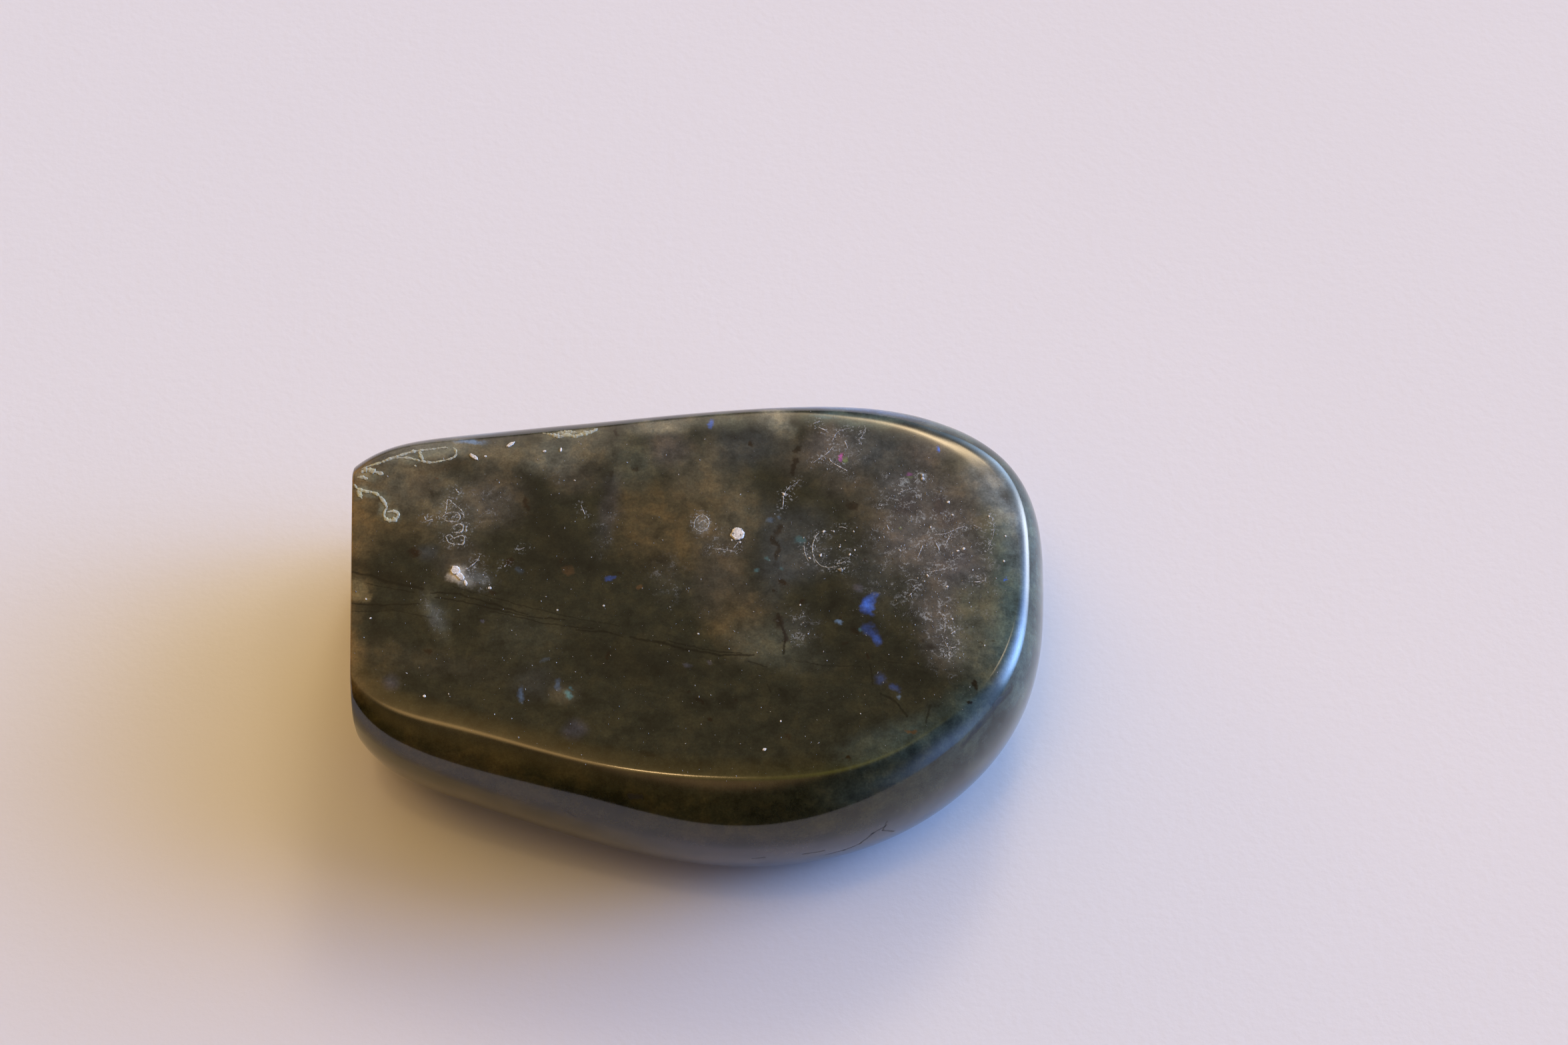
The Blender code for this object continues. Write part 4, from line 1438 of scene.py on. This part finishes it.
def top_of_stone():
    """A function that gives the stone's height at a place on it, in millimetres, and its normal."""
    stone = bpy.data.objects[STONE]
    surface = BVHTree.FromObject(stone, bpy.context.evaluated_depsgraph_get())

    def height(x, y):
        hit = surface.ray_cast(Vector((x * MM, y * MM, 0.1)), Vector((0.0, 0.0, -1.0)))
        if hit[0] is None:
            raise RuntimeError(f"the place ({x}, {y}) is not on the stone")
        return hit[0].z / MM, hit[1]

    return height


# ---------------------------------------------------------------------------------------------------
# Crust, outlines, lint, flakes and dust.


def line_carrier(name, lines, height, lift):
    """A mesh of bare edges along the lines, laid on the stone, with the width as a point attribute."""
    places, edges, widths = [], [], []
    for points, width in lines:
        first = len(places)
        for x, y in points:
            z = height(x, y)[0]
            places.append((x * MM, y * MM, (z + width * lift) * MM))
            widths.append(width * MM)
        edges.extend((first + step, first + step + 1) for step in range(len(points) - 1))
    mesh = bpy.data.meshes.new(name)
    mesh.from_pydata(places, edges, [])
    point_values(mesh, "width", widths)
    return add_object(name, mesh)


def lay_beads(name, lines, lift, values):
    """A piece of lumpy beads that lie along the lines, raised by that share of their width."""
    carrier = line_carrier("line_carrier", lines, top_of_stone(), lift)
    lay(grow(name, carrier, bead_tree(), values))


def flake_mesh(flakes, height, material):
    """Thin angular flakes lying on the stone, each a small lumpy plate, in one mesh."""
    heap = bmesh.new()
    for number, (x, y, long, wide, turn, thick) in enumerate(flakes):
        rounds = 4 if long > 1.0 else 3
        made = bmesh.ops.create_icosphere(heap, subdivisions=rounds, radius=1.0)["verts"]
        z, normal = height(x, y)
        place = Matrix.Translation(Vector((x, y, z)) * MM)
        stand = normal.to_track_quat("Z", "Y").to_matrix().to_4x4()
        spin = Matrix.Rotation(math.radians(turn), 4, "Z")
        size = Matrix.Diagonal(Vector((long / 2, wide / 2, thick, 1.0)) * MM)
        size[3][3] = 1.0
        for corner in made:
            way = corner.co.normalized()
            seed = Vector((number * 7.3, number * 3.1, 0.0))
            dent = 1.0 + 0.24 * noise.noise(way * 1.7 + seed) + 0.12 * noise.noise(way * 5.0 + seed)
            corner.co = way * dent
            corner.co.z = max(-0.3, min(corner.co.z, 0.55)) + 0.06 * noise.noise(way * 6.0 + seed)
        bmesh.ops.transform(heap, matrix=place @ stand @ spin @ size, verts=made)
    mesh = bpy.data.meshes.new("white_flakes")
    heap.to_mesh(mesh)
    heap.free()
    mesh.shade_smooth()
    mesh.materials.append(material)
    return mesh


# ---------------------------------------------------------------------------------------------------
# Operators.


class LABRADORITE_OT_stone(Operator):
    """Loft the stone, saw off its end and give it its colours and polish"""

    bl_idname = "labradorite.stone"
    bl_label = "Stone"
    bl_options = {"REGISTER", "UNDO"}

    def execute(self, context):
        stone = build_stone(context.scene.labradorite)
        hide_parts(NODE)
        lay(stone)
        return {"FINISHED"}


class LABRADORITE_OT_crust(Operator):
    """Grow the cream-coloured crust near the sawn end and on the back rim"""

    bl_idname = "labradorite.crust"
    bl_label = "Dried crust"
    bl_options = {"REGISTER", "UNDO"}

    def execute(self, context):
        dirt = context.scene.labradorite.dirt
        lay_beads(
            "dried_crust", CRUST_LINES, 0.04,
            {"Step": 0.09 * MM, "Flatness": dirt.crust_flatness, "Lumps": 1.25, "Lump Size": 0.45 * MM,
             "Sides": 10, "Seed": float(dirt.seed), "Material": dried_crust(dirt)},
        )
        return {"FINISHED"}


class LABRADORITE_OT_drops(Operator):
    """Draw the thin outlines that dried drops have left on the top face"""

    bl_idname = "labradorite.drops"
    bl_label = "Drop outlines"
    bl_options = {"REGISTER", "UNDO"}

    def execute(self, context):
        dirt = context.scene.labradorite.dirt
        lay_beads(
            "drop_outlines", DROP_OUTLINES, 0.0,
            {"Step": 0.06 * MM, "Flatness": 0.3, "Lumps": 1.0, "Lump Size": 0.30 * MM, "Sides": 6,
             "Seed": dirt.seed + 1.0, "Material": pale_residue("drop outline", dirt.outline, 0.25)},
        )
        return {"FINISHED"}


class LABRADORITE_OT_lint(Operator):
    """Lay the lint and bright scratches on the top face"""

    bl_idname = "labradorite.lint"
    bl_label = "Lint and scratches"
    bl_options = {"REGISTER", "UNDO"}

    def execute(self, context):
        dirt = context.scene.labradorite.dirt
        lay_beads(
            "lint", THREADS, 0.05,
            {"Step": 0.06 * MM, "Flatness": 0.4, "Lumps": 1.3, "Lump Size": 0.30 * MM, "Sides": 6,
             "Seed": dirt.seed + 2.0, "Material": pale_residue("lint", dirt.lint, 0.35)},
        )
        return {"FINISHED"}


class LABRADORITE_OT_flakes(Operator):
    """Drop the white flakes and crumbs on the top face"""

    bl_idname = "labradorite.flakes"
    bl_label = "White flakes"
    bl_options = {"REGISTER", "UNDO"}

    def execute(self, context):
        material = white_flake(context.scene.labradorite.dirt)
        lay(add_object("white_flakes", flake_mesh(FLAKES, top_of_stone(), material)))
        return {"FINISHED"}


class LABRADORITE_OT_dust(Operator):
    """Scatter fine dust over the top face, thickest at the round end"""

    bl_idname = "labradorite.dust"
    bl_label = "Dust"
    bl_options = {"REGISTER", "UNDO"}

    def execute(self, context):
        dirt = context.scene.labradorite.dirt
        mesh = bpy.data.objects[STONE].data.copy()
        mesh.materials.clear()
        places, normals = vertex_arrays(mesh)
        point_values(mesh, "dust", dust_density(places, normals))
        dust = grow(
            "dust", add_object("dust_carrier", mesh), dust_tree(),
            {"Amount": dirt.dust_amount, "Size": dirt.dust_size, "Seed": dirt.seed,
             "Material": pale_residue("dust", dirt.lint, 0.45)},
        )
        while dust.data.materials and dust.data.materials[0] is None:
            dust.data.materials.pop(index=0)
        lay(dust)
        return {"FINISHED"}


# The soft lights of the room: name, heading in degrees (0 along +Y, 90 along +X), height above the
# table in degrees, sharpness, and brightness in red, green and blue at the light's middle.
LIGHTS = (
    ("ceiling lamp", 110.0, 80.0, 40.0, (1.00, 0.85, 0.15)),
    ("lamp shade", 190.0, 68.0, 70.0, (1.00, 0.55, 0.25)),
    ("ceiling glow", -95.0, 77.0, 80.0, (4.20, 2.50, 0.95)),
    ("left room", -130.0, 45.0, 16.0, (0.62, 0.36, 0.10)),
    ("ceiling", -34.0, 71.0, 60.0, (0.72, 0.42, 0.12)),
    ("bulb", -88.0, 84.8, 1800.0, (32.0, 21.0, 10.0)),
    ("brass lamp", 13.0, 37.0, 140.0, (16.0, 12.0, 7.2)),
    ("left wall", -68.0, 58.0, 24.0, (1.15, 0.70, 0.28)),
    ("back wall", -16.0, 31.0, 24.0, (1.30, 1.00, 0.85)),
    ("back lamp", 8.0, 46.0, 44.0, (0.85, 0.72, 0.50)),
    ("back corner", 34.0, 30.0, 20.0, (1.10, 1.05, 0.98)),
    ("wall lamp", 60.0, 56.0, 500.0, (8.00, 6.20, 4.00)),
    ("left corner", -50.0, 7.0, 24.0, (4.80, 2.70, 0.80)),
    ("window top", 77.0, 21.0, 26.0, (3.40, 5.90, 12.80)),
    ("window left", 57.0, 7.0, 55.0, (12.00, 13.20, 15.00)),
    ("window middle", 83.0, 11.0, 60.0, (5.50, 9.50, 17.00)),
    ("side wall", 32.0, 5.0, 40.0, (4.00, 5.60, 8.00)),
    ("curtain", 120.0, 6.0, 24.0, (0.80, 1.20, 2.40)),
)


CAMERA_PLACE = (0.010588, -0.200353, 0.386597)
CAMERA_TILT = math.radians(30.0)
SENSOR_WIDTH = 36.0
LIGHT_MAP_SIZE = 256


def heading(turn, height):
    """The direction with that heading and that height above the table, in degrees."""
    turn, height = math.radians(turn), math.radians(height)
    return math.sin(turn) * math.cos(height), math.cos(turn) * math.cos(height), math.sin(height)


def room_light(tree, brightness):
    """All soft lights together, as a colour that depends on the direction."""
    direction = tree.out(tree.add("ShaderNodeTexCoord"), "Generated")
    total = (0.0, 0.0, 0.0)
    for _name, turn, height, sharpness, glow in LIGHTS:
        facing = tree.vector("DOT_PRODUCT", direction, heading(turn, height), output="Value")
        falloff = tree.maths("EXPONENT", facing * sharpness - sharpness)
        bright = tuple(part * brightness for part in glow)
        total = tree.vector("ADD", total, tree.vector("SCALE", bright, scale=falloff))
    return total


class LABRADORITE_OT_stage(Operator):
    """Set the pale table, the soft lamps and the camera"""

    bl_idname = "labradorite.stage"
    bl_label = "Table, lamps and camera"
    bl_options = {"REGISTER", "UNDO"}

    def execute(self, context):
        scene = context.scene
        stage = scene.labradorite.stage

        sheet = bmesh.new()
        bmesh.ops.create_grid(sheet, x_segments=40, y_segments=40, size=stage.floor_size / 2)
        mesh = bpy.data.meshes.new("table_top")
        sheet.to_mesh(mesh)
        sheet.free()
        mesh.materials.append(pale_paper(stage))
        table = add_object("table_top", mesh)

        world = bpy.data.worlds.new("soft room")
        scene.world = world
        world.use_nodes = True
        world.node_tree.nodes.clear()
        world.cycles.sampling_method = "MANUAL"
        world.cycles.sample_map_resolution = LIGHT_MAP_SIZE
        tree = Tree(world.node_tree)
        glow = tree.add("ShaderNodeBackground", {}, {"Color": room_light(tree, stage.brightness)})
        tree.add("ShaderNodeOutputWorld", {}, {"Surface": tree.out(glow)})

        view = bpy.data.cameras.new("camera")
        view.lens = stage.lens
        view.sensor_width = SENSOR_WIDTH
        view.clip_start = 10.0 * MM
        camera = bpy.data.objects.new("camera", view)
        camera.location = CAMERA_PLACE
        camera.rotation_euler = (CAMERA_TILT, 0.0, 0.0)
        scene.collection.objects.link(camera)
        scene.camera = camera
        scene.view_settings.view_transform = "Standard"
        return {"FINISHED"}


class LABRADORITE_PT_panel(Panel):
    """Lists the steps that build the stone"""

    bl_idname = "LABRADORITE_PT_panel"
    bl_label = "Polished labradorite"
    bl_space_type = "VIEW_3D"
    bl_region_type = "UI"
    bl_category = "Labradorite"

    def draw(self, context):
        layout = self.layout
        settings = context.scene.labradorite
        for step in STEPS:
            layout.operator(step.bl_idname)
        for title in ("shape", "finish", "dirt", "stage"):
            group = getattr(settings, title)
            box = layout.box()
            box.label(text=title.capitalize())
            for name in group.__annotations__:
                box.prop(group, name)


STEPS = (
    LABRADORITE_OT_stone, LABRADORITE_OT_crust, LABRADORITE_OT_drops, LABRADORITE_OT_lint,
    LABRADORITE_OT_flakes, LABRADORITE_OT_dust, LABRADORITE_OT_stage,
)
CLASSES = (
    LabradoriteShape, LabradoriteFinish, LabradoriteDirt, LabradoriteStage, LabradoriteSettings,
    *STEPS, LABRADORITE_PT_panel,
)


def register():
    for item in CLASSES:
        bpy.utils.register_class(item)
    bpy.types.Scene.labradorite = PointerProperty(type=LabradoriteSettings)


def unregister():
    del bpy.types.Scene.labradorite
    for item in reversed(CLASSES):
        bpy.utils.unregister_class(item)


def main():
    register()
    bpy.ops.labradorite.stone()
    bpy.ops.labradorite.crust()
    bpy.ops.labradorite.drops()
    bpy.ops.labradorite.lint()
    bpy.ops.labradorite.flakes()
    bpy.ops.labradorite.dust()
    bpy.ops.labradorite.stage()


if __name__ == "__main__":
    main()
